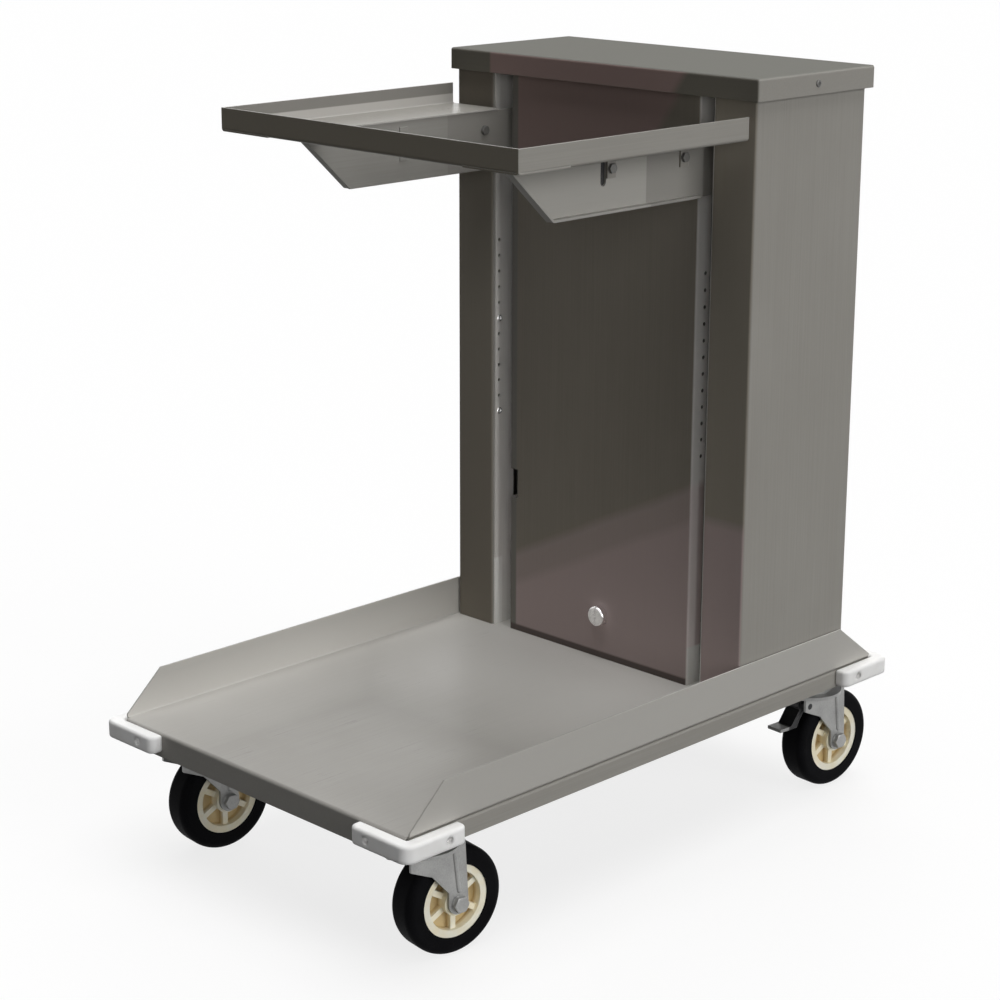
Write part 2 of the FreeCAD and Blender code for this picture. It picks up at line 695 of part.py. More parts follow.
def tower_cap():
    """Lid that overhangs the tower, with a deep lip and a seat for each of its screws."""
    side = TOWER_SIDE + CAP_OVERHANG
    front = TOWER_FRONT - CAP_OVERHANG
    back = TOWER_BACK + CAP_OVERHANG
    bottom = OVERALL_HEIGHT - CAP_LIP
    block = box((-side, side), (front, back), (bottom, OVERALL_HEIGHT))
    edges = [edge for edge in block.Edges if edge.CenterOfMass.z > bottom]
    block = block.makeFillet(CAP_EDGE_ROUND, edges)
    hollow = box(
        (-side + CAP_SHEET, side - CAP_SHEET),
        (front + CAP_SHEET, back - CAP_SHEET),
        (bottom, CAP_UNDER),
    )
    seats = []
    for face, outward in cap_screw_spots():
        seats.append(rod(CAP_SEAT_RADIUS, face - outward * CAP_SHEET, face - outward * CAP_OVERHANG))
    cap = joined([block.cut(hollow)] + seats)
    holes = [screw_hole(face, outward, CAP_OVERHANG) for face, outward in cap_screw_spots()]
    return drilled(cap, holes)


def tower_header():
    """Strip across the top of both slots, behind the cap's lip."""
    front = TOWER_FRONT + TOWER_SHEET
    return box((-SLOT_OUTER, SLOT_OUTER), (front, front + HEADER_SHEET), (HEADER_BOTTOM, CAP_UNDER))


def access_panel():
    """Front panel between the slots, with side returns, a finger notch and the latch's hole."""
    back = PANEL_FRONT + PANEL_RETURN_DEPTH
    path = [(-PANEL_SIDE, back), (-PANEL_SIDE, PANEL_FRONT), (PANEL_SIDE, PANEL_FRONT), (PANEL_SIDE, back)]
    panel = folded("xy", path, TOWER_SHEET, DECK_HEIGHT, CAP_UNDER - PANEL_TOP_GAP)
    notch = box(
        (-PANEL_SIDE - TOWER_SHEET, -PANEL_SIDE + NOTCH_WIDTH),
        (PANEL_FRONT - TOWER_SHEET, PANEL_FRONT + NOTCH_WIDTH),
        (DECK_HEIGHT + NOTCH_ABOVE_DECK, DECK_HEIGHT + NOTCH_ABOVE_DECK + NOTCH_HEIGHT),
    )
    panel = panel.cut(notch)
    centre = V(LATCH_OFFSET, PANEL_FRONT, LATCH_HEIGHT)
    reach = AXIS_Y * PANEL_RETURN_DEPTH
    holes = [(centre - reach, centre + reach, LATCH_SHAFT_RADIUS + RUNNING_GAP)]
    for sign in (-1, 1):
        inside = sign * (PANEL_SIDE - SLOT_WIDTH)
        row = perforations(inside, sign * (PANEL_SIDE + SLOT_WIDTH / 2), PANEL_HOLE_Y)
        holes += [(start, end, PERFORATION_RADIUS) for start, end, _ in row]
    return drilled(panel, holes)


def panel_latch():
    """Quarter-turn latch: a grooved knob with its shaft, and the cam bar held on the shaft."""
    centre = V(LATCH_OFFSET, 0, LATCH_HEIGHT)
    back = centre + AXIS_Y * (PANEL_FRONT - STOP_GAP)
    front = back - AXIS_Y * KNOB_THICKNESS
    knob = rod(KNOB_RADIUS, front, back)
    rim = [edge for edge in knob.Edges if edge.BoundBox.YMax < front.y + STOP_GAP]
    knob = knob.makeFillet(KNOB_EDGE_ROUND, rim)
    groove = box(
        (LATCH_OFFSET - KNOB_GRIP_WIDTH / 2, LATCH_OFFSET + KNOB_GRIP_WIDTH / 2),
        (front.y, front.y + KNOB_GRIP_DEPTH),
        (LATCH_HEIGHT - KNOB_RADIUS, LATCH_HEIGHT + KNOB_RADIUS),
    )
    cam_back = CAM_FRONT + CAM_THICKNESS
    shaft = rod(LATCH_SHAFT_RADIUS, back, centre + AXIS_Y * cam_back)
    cam = box(
        (LATCH_OFFSET - CAM_LENGTH / 2, LATCH_OFFSET + CAM_LENGTH / 2),
        (CAM_FRONT, cam_back),
        (LATCH_HEIGHT - CAM_WIDTH / 2, LATCH_HEIGHT + CAM_WIDTH / 2),
    )
    cam = drilled(cam, [(centre, centre + AXIS_Y * TOWER_BACK, LATCH_SHAFT_RADIUS)])
    return solids_of([joined([knob.cut(groove), shaft]), cam])


def latch_keeper():
    """Bracket on the deck behind the panel, slotted so that the cam passes only when it stands upright."""
    front = PANEL_INSIDE + KEEPER_GAP
    top = LATCH_HEIGHT + KEEPER_ABOVE_SHAFT
    path = [(front, top), (front, DECK_HEIGHT), (front + KEEPER_FOOT, DECK_HEIGHT)]
    left = LATCH_OFFSET - KEEPER_WIDTH / 2
    bracket = folded("yz", path, KEEPER_SHEET, left, left + KEEPER_WIDTH)
    half_width = CAM_WIDTH / 2 + KEEPER_SLOT_MARGIN
    half_height = CAM_LENGTH / 2 + KEEPER_SLOT_MARGIN
    slot = box(
        (LATCH_OFFSET - half_width, LATCH_OFFSET + half_width),
        (front - KEEPER_SHEET, front + KEEPER_SHEET * 2),
        (LATCH_HEIGHT - half_height, LATCH_HEIGHT + half_height),
    )
    return bracket.cut(slot)


def slot_strip(side):
    """Perforated strip screwed to the outer wall of a slot."""
    sign = SIDES[side]
    front = TOWER_FRONT + SLOT_STRIP_SETBACK
    strip = box(
        (sign * STRIP_FACE, sign * SLOT_OUTER),
        (front, front + SLOT_STRIP_WIDTH),
        (DECK_HEIGHT, HEADER_BOTTOM - SLOT_STRIP_TOP_GAP),
    )
    row = perforations(sign * ARM_OUTER, sign * (SLOT_OUTER + SLOT_WIDTH), STRIP_HOLE_Y)
    return drilled(strip, row)


def foot_bolt_spots():
    """Bolts that hold the tower's feet to the deck, at deck level."""
    x = TOWER_INNER - FOOT_FLANGE_WIDTH + FOOT_BOLT_EDGE
    near = TOWER_FRONT + FOOT_FLANGE_SETBACK + FOOT_BOLT_INSET
    far = SIDE_BACK - OUTER_BEND - FOOT_BOLT_INSET
    return [V(sign * x, y, DECK_HEIGHT) for sign in (-1, 1) for y in (near, far)]


def foot_bolt_hole(spot):
    return (spot - AXIS_Z * PAN_SHEET * 2, spot + AXIS_Z * TOWER_SHEET * 2, BOLT_RADIUS)


def foot_bolts():
    """Bolts through the tower's feet and the deck."""
    bolts = []
    for spot in foot_bolt_spots():
        bolts.append(hex_bolt(spot + AXIS_Z * TOWER_SHEET, AXIS_Z, TOWER_SHEET + PAN_SHEET))
    return solids_of(bolts)


def guide_channel(side):
    """Upright channel on the tower's side in which two rollers run."""
    near = GUIDE_Y - GUIDE_HALF - GUIDE_SHEET
    far = GUIDE_Y + GUIDE_HALF + GUIDE_SHEET
    mouth = TOWER_INNER - GUIDE_FLANGE
    path = [(mouth, near), (TOWER_INNER, near), (TOWER_INNER, far), (mouth, far)]
    low = DECK_HEIGHT + GUIDE_ABOVE_DECK
    channel = folded("xy", path, GUIDE_SHEET, low, OVERALL_HEIGHT - GUIDE_TOP_GAP)
    return channel if SIDES[side] > 0 else mirrored(channel)


def cross_brace():
    """Angle across the top of the tower that carries the upper stops."""
    front = STOP_Y - BRACE_WIDTH / 2
    back = front + BRACE_WIDTH
    path = [(back, BRACE_TOP - BRACE_WIDTH), (back, BRACE_TOP), (front, BRACE_TOP)]
    return folded("yz", path, BRACE_SHEET, -TOWER_INNER, TOWER_INNER)


def carriage_stops():
    """Rubber buffers above the carriage plate and below the arms' tails."""
    buffers = []
    tail_x = (ARM_INNER + ARM_OUTER) / 2
    for sign in (-1, 1):
        high = V(sign * UPPER_STOP_OFFSET, STOP_Y, BRACE_UNDER)
        buffers.append(rod(STOP_RADIUS, high, V(high.x, high.y, CARRIAGE_TOP + STOP_GAP)))
        low = V(sign * tail_x, GUIDE_Y, DECK_HEIGHT)
        buffers.append(rod(STOP_RADIUS, low, low + AXIS_Z * STOP_HEIGHT))
    return solids_of(buffers)


def spring_hanger_bar():
    """Fixed bar across the top of the tower on which the springs hang."""
    bar = rod(BAR_RADIUS, V(-TOWER_INNER, SPRING_Y, HANGER_Z), V(TOWER_INNER, SPRING_Y, HANGER_Z))
    return drilled(bar, [screw_hole(face, outward) for face, outward in hanger_screw_spots()])


def lift_springs():
    """Extension springs between the hanger bar and the carriage's bar, each hooked over both."""
    hook = BAR_RADIUS + SPRING_HOOK_GAP + SPRING_WIRE_RADIUS
    low = SPRING_BAR_Z + hook + SPRING_NECK
    high = HANGER_Z - hook - SPRING_NECK
    springs = []
    for index in range(SPRING_COUNT):
        x = (index - (SPRING_COUNT - 1) / 2) * SPRING_PITCH
        barrel = rod(SPRING_RADIUS, V(x, SPRING_Y, low), V(x, SPRING_Y, high))
        bore = rod(SPRING_RADIUS - SPRING_WIRE_RADIUS * 2, V(x, SPRING_Y, low + SPRING_WIRE_RADIUS * 2),
                   V(x, SPRING_Y, high - SPRING_WIRE_RADIUS * 2))
        necks = []
        for bar_z, end in ((SPRING_BAR_Z, low), (HANGER_Z, high)):
            toward = 1 if end > bar_z else -1
            start = V(x, SPRING_Y, bar_z + toward * hook)
            necks.append(rod(SPRING_WIRE_RADIUS, start, V(x, SPRING_Y, end)))
            necks.append(Part.makeTorus(hook, SPRING_WIRE_RADIUS, V(x, SPRING_Y, bar_z), AXIS_X))
        springs.append(joined([barrel.cut(bore)] + necks))
    return solids_of(springs)


# Carriage: tray frame, arms, plate, bar and rollers

def tray_tab_spots():
    """Where each pair of fixing tabs hangs from the tray frame's ledges."""
    return [TOWER_FRONT - ARM_FRONT_BOLT, TOWER_FRONT - ARM_REAR_BOLT]


def arm_bolt_spots():
    """Bolts through the arms and the tray frame's tabs."""
    z = ARM_TOP - ARM_BOLT_DROP
    return [(sign, y, z) for sign in (-1, 1) for y in tray_tab_spots()]


def carriage_bolt_spots():
    """Bolts through the arms and the carriage plate's side flanges."""
    y = CARRIAGE_FRONT + CARRIAGE_SHEET + CARRIAGE_FLANGE / 2
    heights = (ARM_TOP - CARRIAGE_BOLT_INSET, CARRIAGE_BOTTOM + CARRIAGE_BOLT_INSET)
    return [(sign, y, z) for sign in (-1, 1) for z in heights]


def through_arm(spots, radius):
    """Holes across one arm and what is bolted to its faces."""
    return [(V(sign * FLANGE_INNER, y, z), V(sign * TAB_OUTER, y, z), radius) for sign, y, z in spots]


def tray_frame():
    """Open U of angle section: a lip, a ledge for the trays, and tabs that hang outside the arms."""
    ledge = ARM_TOP
    rail_path = [(LEDGE_INNER, ledge), (TRAY_SIDE, ledge), (TRAY_SIDE, RIM_TOP)]
    rail = folded("xz", rail_path, TRAY_SHEET, TRAY_FRONT, TRAY_REAR)
    front_path = [(TRAY_FRONT, RIM_TOP), (TRAY_FRONT, ledge), (TRAY_FRONT + TRAY_FRONT_LEDGE, ledge)]
    front = folded("yz", front_path, TRAY_SHEET, -TRAY_SIDE, TRAY_SIDE)
    tabs = []
    for y in tray_tab_spots():
        far = min(y - TRAY_TAB_LEAD + TRAY_TAB_LENGTH, TRAY_REAR)
        near = far - TRAY_TAB_LENGTH
        tabs.append(box((ARM_OUTER, TAB_OUTER), (near, far), (ledge - TRAY_TAB_DEPTH, ledge + TRAY_SHEET)))
    half = joined([rail] + tabs)
    frame = joined([front, half, mirrored(half)])
    return drilled(frame, through_arm(arm_bolt_spots(), BOLT_RADIUS))


def arm(side):
    """Bracket arm: a plate with a flanged nose and underside, and a tail that hangs inside the tower."""
    nose_top = TRAY_FRONT + ARM_NOSE_SETBACK
    nose_bottom = nose_top + ARM_NOSE_RUN
    outline = [
        (nose_top, ARM_TOP),
        (nose_bottom, ARM_BOTTOM),
        (TAIL_FRONT, ARM_BOTTOM),
        (TAIL_FRONT, TAIL_BOTTOM),
        (TAIL_BACK, TAIL_BOTTOM),
        (TAIL_BACK, ARM_TOP),
    ]
    plate = prism("yz", outline, ARM_INNER, ARM_OUTER)
    flange_end = TOWER_FRONT - ARM_FLANGE_END_GAP
    edge = [(nose_top, ARM_TOP), (nose_bottom, ARM_BOTTOM), (flange_end, ARM_BOTTOM)]
    flange = folded("yz", edge, ARM_SHEET, ARM_INNER, ARM_OUTER + ARM_FLANGE)
    above = box((ARM_INNER, ARM_OUTER + ARM_FLANGE), (TRAY_FRONT, TAIL_BACK), (ARM_TOP, RIM_TOP))
    plate = joined([plate, flange.cut(above)])
    slot_y = TOWER_FRONT - ARM_SLOT_SETBACK
    slot_z = ARM_TOP - ARM_SLOT_DROP
    half = (ARM_SLOT_LENGTH - ARM_SLOT_WIDTH) / 2
    ends = [V(0, slot_y, slot_z + half), V(0, slot_y, slot_z - half)]
    across = AXIS_X * PAN_WIDTH
    slot = [rod(ARM_SLOT_WIDTH / 2, end, end + across) for end in ends]
    slot.append(box((0, PAN_WIDTH), (slot_y - ARM_SLOT_WIDTH / 2, slot_y + ARM_SLOT_WIDTH / 2),
                    (slot_z - half, slot_z + half)))
    plate = plate.cut(slot)
    plate = plate if SIDES[side] > 0 else mirrored(plate)
    holes = through_arm(arm_bolt_spots() + carriage_bolt_spots(), BOLT_RADIUS)
    holes += through_arm(spring_bar_spots(), BOLT_RADIUS)
    holes += through_arm(roller_spots(), AXLE_PIN_RADIUS)
    return drilled(plate, holes)


def carriage_bolts():
    """Bolts that hold the tray frame, the carriage plate and the spring bar to the arms."""
    bolts = []
    for sign, y, z in arm_bolt_spots():
        bolts.append(hex_bolt(V(sign * TAB_OUTER, y, z), V(sign, 0, 0), TAB_OUTER - ARM_INNER))
    for sign, y, z in carriage_bolt_spots():
        bolts.append(hex_bolt(V(sign * ARM_OUTER, y, z), V(sign, 0, 0), ARM_OUTER - FLANGE_INNER))
    for sign, y, z in spring_bar_spots():
        face = V(sign * ARM_OUTER, y, z)
        outward = V(sign, 0, 0)
        head = hexagon(BOLT_HEAD_RADIUS, face, face + outward * BOLT_HEAD_HEIGHT)
        bolts.append(joined([head, rod(BOLT_RADIUS, face, face - outward * (ARM_SHEET + SCREW_GRIP))]))
    return solids_of(bolts)


def carriage_plate():
    """Plate that joins the two arms inside the tower; its top flange meets the upper stops."""
    back = CARRIAGE_FRONT + CARRIAGE_SHEET + CARRIAGE_FLANGE
    path = [(back, CARRIAGE_TOP), (CARRIAGE_FRONT, CARRIAGE_TOP), (CARRIAGE_FRONT, CARRIAGE_BOTTOM),
            (back, CARRIAGE_BOTTOM)]
    plate = folded("yz", path, CARRIAGE_SHEET, -ARM_INNER, ARM_INNER)
    flange = box(
        (FLANGE_INNER, ARM_INNER),
        (CARRIAGE_FRONT + CARRIAGE_SHEET, back),
        (CARRIAGE_BOTTOM + CARRIAGE_SHEET, CARRIAGE_TOP - CARRIAGE_SHEET),
    )
    plate = joined([plate, flange, mirrored(flange)])
    return drilled(plate, through_arm(carriage_bolt_spots(), BOLT_RADIUS))


def spring_bar_spots():
    return [(sign, SPRING_Y, SPRING_BAR_Z) for sign in (-1, 1)]


def spring_bar():
    """Bar between the arms' tails that the springs pull up."""
    bar = rod(BAR_RADIUS, V(-ARM_INNER, SPRING_Y, SPRING_BAR_Z), V(ARM_INNER, SPRING_Y, SPRING_BAR_Z))
    holes = []
    for sign, y, z in spring_bar_spots():
        end = V(sign * ARM_INNER, y, z)
        holes.append((end, end - AXIS_X * sign * SCREW_GRIP, BOLT_RADIUS))
    return drilled(bar, holes)


def roller_spots():
    """Side and place of each guide roller's axle."""
    return [(sign, GUIDE_Y, z) for sign in (-1, 1) for z in ROLLER_HEIGHTS.values()]


def roller_axles():
    """Shouldered axles that stand out from the arms, each with a nut inside and a head outside."""
    axles = []
    for sign, y, z in roller_spots():
        stations = [FLANGE_INNER - BOLT_HEAD_HEIGHT, ARM_INNER, ARM_OUTER, ROLLER_INNER - ROLLER_SIDE_GAP]
        stations += [ROLLER_OUTER + ROLLER_SIDE_GAP, ROLLER_OUTER + ROLLER_SIDE_GAP + AXLE_HEAD_THICKNESS]
        points = [V(sign * station, y, z) for station in stations]
        nut = hexagon(AXLE_COLLAR_RADIUS, points[0], points[1])
        neck = rod(AXLE_PIN_RADIUS, points[1], points[2])
        collar = rod(AXLE_COLLAR_RADIUS, points[2], points[3])
        pin = rod(AXLE_PIN_RADIUS, points[3], points[4])
        head = rod(AXLE_HEAD_RADIUS, points[4], points[5])
        axles.append(joined([nut, neck, collar, pin, head]))
    return solids_of(axles)


def roller(side, level):
    """Guide roller with a shallow groove round its middle."""
    sign = SIDES[side]
    z = ROLLER_HEIGHTS[level]
    inner = V(sign * ROLLER_INNER, GUIDE_Y, z)
    outer = V(sign * ROLLER_OUTER, GUIDE_Y, z)
    body = rod(ROLLER_RADIUS, inner, outer)
    third = (outer - inner) / 3
    groove = rod(ROLLER_RADIUS, inner + third, outer - third)
    core = rod(ROLLER_RADIUS - ROLLER_GROOVE, inner + third, outer - third)
    body = body.cut(groove.cut(core))
    return drilled(body, [(inner, outer, AXLE_PIN_RADIUS + RUNNING_GAP)])


# Casters, drawn with the swivel axis at the origin and the wheel trailing along +Y

def placed_caster(shape, name):
    """Turn a caster's piece about its swivel axis and move it under the deck."""
    x, y = CASTERS[name]
    copy = shape.copy()
    copy.rotate(V(0, 0, 0), AXIS_Z, SWIVEL_ANGLES[name])
    copy.translate(V(x, y, 0))
    return copy


def plate_bolt_spots():
    """Places of all the caster plates' bolts, on the upper face of the plates."""
    spots = []
    for x, y in CASTERS.values():
        for across in (-PLATE_BOLT_X, PLATE_BOLT_X):
            for along in (-PLATE_BOLT_Y, PLATE_BOLT_Y):
                spots.append(V(x + across, y + along, CASTER_HEIGHT))
    return spots


def caster_plates():
    """Top plates with their upper races, and the kingpins riveted into them."""
    pieces = []
    half_x = PLATE_WIDTH / 2
    half_y = PLATE_LENGTH / 2
    outline = [(half_x, -half_y), (half_x, half_y), (-half_x, half_y), (-half_x, -half_y)]
    plate = round_prism("xy", outline, [PLATE_CORNER] * 4, PLATE_UNDER, CASTER_HEIGHT)
    race_bottom = CROWN_TOP + FORK_RACE_HEIGHT + RACE_GAP
    race = rod(RACE_RADIUS, V(0, 0, race_bottom), V(0, 0, PLATE_UNDER))
    holes = [(V(0, 0, 0), V(0, 0, DECK_HEIGHT), KINGPIN_RADIUS)]
    for across in (-PLATE_BOLT_X, PLATE_BOLT_X):
        for along in (-PLATE_BOLT_Y, PLATE_BOLT_Y):
            holes.append((V(across, along, 0), V(across, along, DECK_HEIGHT), BOLT_RADIUS))
    plate = drilled(joined([plate, race]), holes)
    head_top = CROWN_UNDER - KINGPIN_HEAD_GAP
    head = rod(KINGPIN_HEAD_RADIUS, V(0, 0, head_top - KINGPIN_HEAD_HEIGHT), V(0, 0, head_top))
    kingpin = joined([head, rod(KINGPIN_RADIUS, V(0, 0, head_top), V(0, 0, CASTER_HEIGHT))])
    for x, y in CASTERS.values():
        for piece in (plate, kingpin):
            copy = piece.copy()
            copy.translate(V(x, y, 0))
            pieces.append(copy)
    return solids_of([solid for piece in pieces for solid in piece.Solids])


def caster_plate_bolts():
    """Bolts through the caster plates and the cross channels."""
    bolts = []
    for spot in plate_bolt_spots():
        under = spot - AXIS_Z * PLATE_THICKNESS
        bolts.append(hex_bolt(under, -AXIS_Z, PLATE_THICKNESS + CHANNEL_SHEET))
    return solids_of(bolts)


def fork_leg():
    """One leg of the fork, on the right-hand side of the wheel: narrow below, flared above, with a bead."""
    axle_y = CASTER_TRAIL
    outline = [
        (-FORK_FRONT, CROWN_UNDER),
        (-FORK_FRONT, CROWN_UNDER - FORK_FRONT_HEIGHT),
        (axle_y - FORK_KNEE_FORWARD, WHEEL_RADIUS + FORK_KNEE_ABOVE_AXLE),
        (axle_y - FORK_EYE_RADIUS, WHEEL_RADIUS + FORK_FOOT_HEIGHT),
        (axle_y - FORK_EYE_RADIUS, WHEEL_RADIUS),
        (axle_y + FORK_EYE_RADIUS, WHEEL_RADIUS),
        (FORK_BACK, CROWN_UNDER),
    ]
    leg = prism("yz", outline, LEG_INNER, LEG_OUTER)
    eye = rod(FORK_EYE_RADIUS, V(LEG_INNER, axle_y, WHEEL_RADIUS), V(LEG_OUTER, axle_y, WHEEL_RADIUS))
    bead_foot = V(LEG_OUTER, axle_y, WHEEL_RADIUS + AXLE_BOLT_HEAD_RADIUS + FORK_BEAD_RADIUS * 2)
    bead_top = V(LEG_OUTER, axle_y - FORK_BEAD_LEAN, CROWN_UNDER - FORK_BEAD_RADIUS * 2)
    bead = rod(FORK_BEAD_RADIUS, bead_foot, bead_top)
    bead = bead.fuse([Part.makeSphere(FORK_BEAD_RADIUS, end) for end in (bead_foot, bead_top)])
    bead = bead.cut(box((0, LEG_INNER), (-PLATE_LENGTH, PLATE_LENGTH), (0, CROWN_UNDER)))
    return joined([leg, eye, bead])


def caster_fork(name):
    """Fork with a round crown, a lower race and two tapering legs."""
    leg = fork_leg()
    crown = rod(FORK_CROWN_RADIUS, V(0, 0, CROWN_UNDER), V(0, 0, CROWN_TOP))
    bridge = box((-LEG_OUTER, LEG_OUTER), (-FORK_FRONT, FORK_BACK), (CROWN_UNDER, CROWN_TOP))
    race = rod(RACE_RADIUS, V(0, 0, CROWN_TOP), V(0, 0, CROWN_TOP + FORK_RACE_HEIGHT))
    fork = joined([crown, bridge, race, leg, mirrored(leg)])
    axle = V(0, CASTER_TRAIL, WHEEL_RADIUS)
    across = AXIS_X * LEG_OUTER
    holes = [(V(0, 0, 0), V(0, 0, DECK_HEIGHT), KINGPIN_RADIUS + RUNNING_GAP)]
    holes.append((axle - across, axle + across, AXLE_BOLT_RADIUS))
    if name in BRAKED:
        pivot = V(0, -PEDAL_PIVOT_FORWARD, PEDAL_PIVOT_Z)
        holes.append((pivot - across, pivot + across, PEDAL_PIN_RADIUS + RUNNING_GAP))
    return placed_caster(drilled(fork, holes), name)


def caster_axle(name):
    """Axle bolt through the fork's legs, with its nut."""
    centre = V(0, CASTER_TRAIL, WHEEL_RADIUS)
    face = AXIS_X * LEG_OUTER
    end = AXIS_X * (LEG_OUTER + AXLE_BOLT_HEAD_HEIGHT)
    head = hexagon(AXLE_BOLT_HEAD_RADIUS, centre + face, centre + end)
    nut = hexagon(AXLE_BOLT_HEAD_RADIUS, centre - face, centre - end)
    return placed_caster(joined([head, rod(AXLE_BOLT_RADIUS, centre - face, centre + face), nut]), name)


def across_wheel(radius, width):
    """Round disc centred on the wheel."""
    centre = V(0, CASTER_TRAIL, WHEEL_RADIUS)
    half = AXIS_X * (width / 2)
    return rod(radius, centre - half, centre + half)


def wheel_hub(name):
    """Moulded hub: rim, recessed web, ribs and boss."""
    rim = across_wheel(HUB_RADIUS, HUB_RIM_WIDTH).cut(across_wheel(HUB_RADIUS - HUB_RIM, HUB_RIM_WIDTH))
    web = across_wheel(HUB_RADIUS - HUB_RIM / 2, HUB_WEB)
    boss = across_wheel(HUB_BOSS_RADIUS, HUB_BOSS_LENGTH)
    centre = V(0, CASTER_TRAIL, WHEEL_RADIUS)
    ribs = []
    for index in range(HUB_RIBS):
        rib = box(
            (-HUB_RIB_WIDTH / 2, HUB_RIB_WIDTH / 2),
            (CASTER_TRAIL - HUB_RIB_THICKNESS / 2, CASTER_TRAIL + HUB_RIB_THICKNESS / 2),
            (WHEEL_RADIUS, WHEEL_RADIUS + HUB_RADIUS - HUB_RIM / 2),
        )
        rib.rotate(centre, AXIS_X, 360 * index / HUB_RIBS)
        ribs.append(rib)
    hub = joined([rim, web, boss] + ribs)
    half = AXIS_X * HUB_BOSS_LENGTH
    hub = drilled(hub, [(centre - half, centre + half, AXLE_BOLT_RADIUS + RUNNING_GAP)])
    return placed_caster(hub, name)


def tyre(name):
    """Solid tyre with rounded shoulders, moulded round the hub."""
    ring = across_wheel(WHEEL_RADIUS, WHEEL_WIDTH)
    shoulders = [edge for edge in ring.Edges if edge.BoundBox.XLength < WHEEL_WIDTH / 2]
    ring = ring.makeFillet(TYRE_SHOULDER, shoulders)
    return placed_caster(ring.cut(across_wheel(HUB_RADIUS, WHEEL_WIDTH)), name)


def brake_pedal(name):
    """Pedal on a pin between the fork's legs, with a tab in front and a shoe that faces the tyre."""
    pivot_y = -PEDAL_PIVOT_FORWARD
    tab_back = -PEDAL_TIP_FORWARD + PEDAL_TAB_LENGTH
    tab_z = WHEEL_RADIUS + PEDAL_TAB_ABOVE_AXLE
    path = [(pivot_y, PEDAL_PIVOT_Z), (tab_back, tab_z), (-PEDAL_TIP_FORWARD, tab_z)]
    half = PEDAL_WIDTH / 2
    lever = folded("yz", path, PEDAL_SHEET, -half, half)
    shoe_z = tab_z + PEDAL_SHOE_HEIGHT
    clear = across_wheel(WHEEL_RADIUS + PEDAL_SHOE_GAP, PEDAL_WIDTH * 2)
    shoe = prism("yz", [(tab_back, tab_z - PEDAL_SHEET), (0, tab_z - PEDAL_SHEET), (0, shoe_z),
                        (pivot_y, shoe_z)], -half, half).cut(clear)
    eye = rod(PEDAL_PIN_RADIUS * 2, V(-half, pivot_y, PEDAL_PIVOT_Z), V(half, pivot_y, PEDAL_PIVOT_Z))
    pin = rod(PEDAL_PIN_RADIUS, V(-LEG_OUTER, pivot_y, PEDAL_PIVOT_Z), V(LEG_OUTER, pivot_y, PEDAL_PIVOT_Z))
    return placed_caster(joined([lever, eye, pin, shoe]), name)


# Every piece by its name

def build():
    pieces = {"deck_pan": deck_pan()}
    for side in SIDES:
        pieces["side_rail_" + side] = side_rail(side)
    pieces["front_cross_channel"] = cross_channel(-CASTER_Y)
    pieces["rear_cross_channel"] = cross_channel(CASTER_Y)
    for name, (x, y) in CASTERS.items():
        pieces["bumper_" + name] = bumper(math.copysign(1, x), math.copysign(1, y))
    pieces["bumper_screws"] = bumper_screws()
    for side in SIDES:
        pieces["tower_side_" + side] = tower_side(side)
        pieces["slot_strip_" + side] = slot_strip(side)
        pieces["guide_channel_" + side] = guide_channel(side)
    pieces["tower_back_panel"] = tower_back_panel()
    pieces["tower_cap"] = tower_cap()
    pieces["tower_header"] = tower_header()
    pieces["tower_screws"] = tower_screws()
    pieces["tower_foot_bolts"] = foot_bolts()
    pieces["access_panel"] = access_panel()
    pieces["panel_latch"] = panel_latch()
    pieces["latch_keeper"] = latch_keeper()
    pieces["cross_brace"] = cross_brace()
    pieces["carriage_stops"] = carriage_stops()
    pieces["spring_hanger_bar"] = spring_hanger_bar()
    pieces["lift_springs"] = lift_springs()
    pieces["tray_frame"] = tray_frame()
    for side in SIDES:
        pieces["arm_" + side] = arm(side)
    pieces["carriage_plate"] = carriage_plate()
    pieces["carriage_bolts"] = carriage_bolts()
    pieces["spring_bar"] = spring_bar()
    pieces["roller_axles"] = roller_axles()
    for level in ROLLER_HEIGHTS:
        for side in SIDES:
            pieces["roller_" + level + "_" + side] = roller(side, level)
    pieces["caster_plates"] = caster_plates()
    pieces["caster_plate_bolts"] = caster_plate_bolts()
    for name in CASTERS:
        pieces["caster_fork_" + name] = caster_fork(name)
        pieces["caster_axle_" + name] = caster_axle(name)
        pieces["wheel_hub_" + name] = wheel_hub(name)
        pieces["tyre_" + name] = tyre(name)
    for name in BRAKED:
        pieces["brake_pedal_" + name] = brake_pedal(name)
    return pieces


def main():
    os.makedirs("parts", exist_ok=True)
    for name, shape in build().items():
        shape.translate(CENTRE_SHIFT)
        shape.exportStep(os.path.join("parts", name + ".step"))


if __name__ == "__main__":
    main()
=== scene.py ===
import json
import math

import bmesh
import bpy
from mathutils import Matrix, Vector


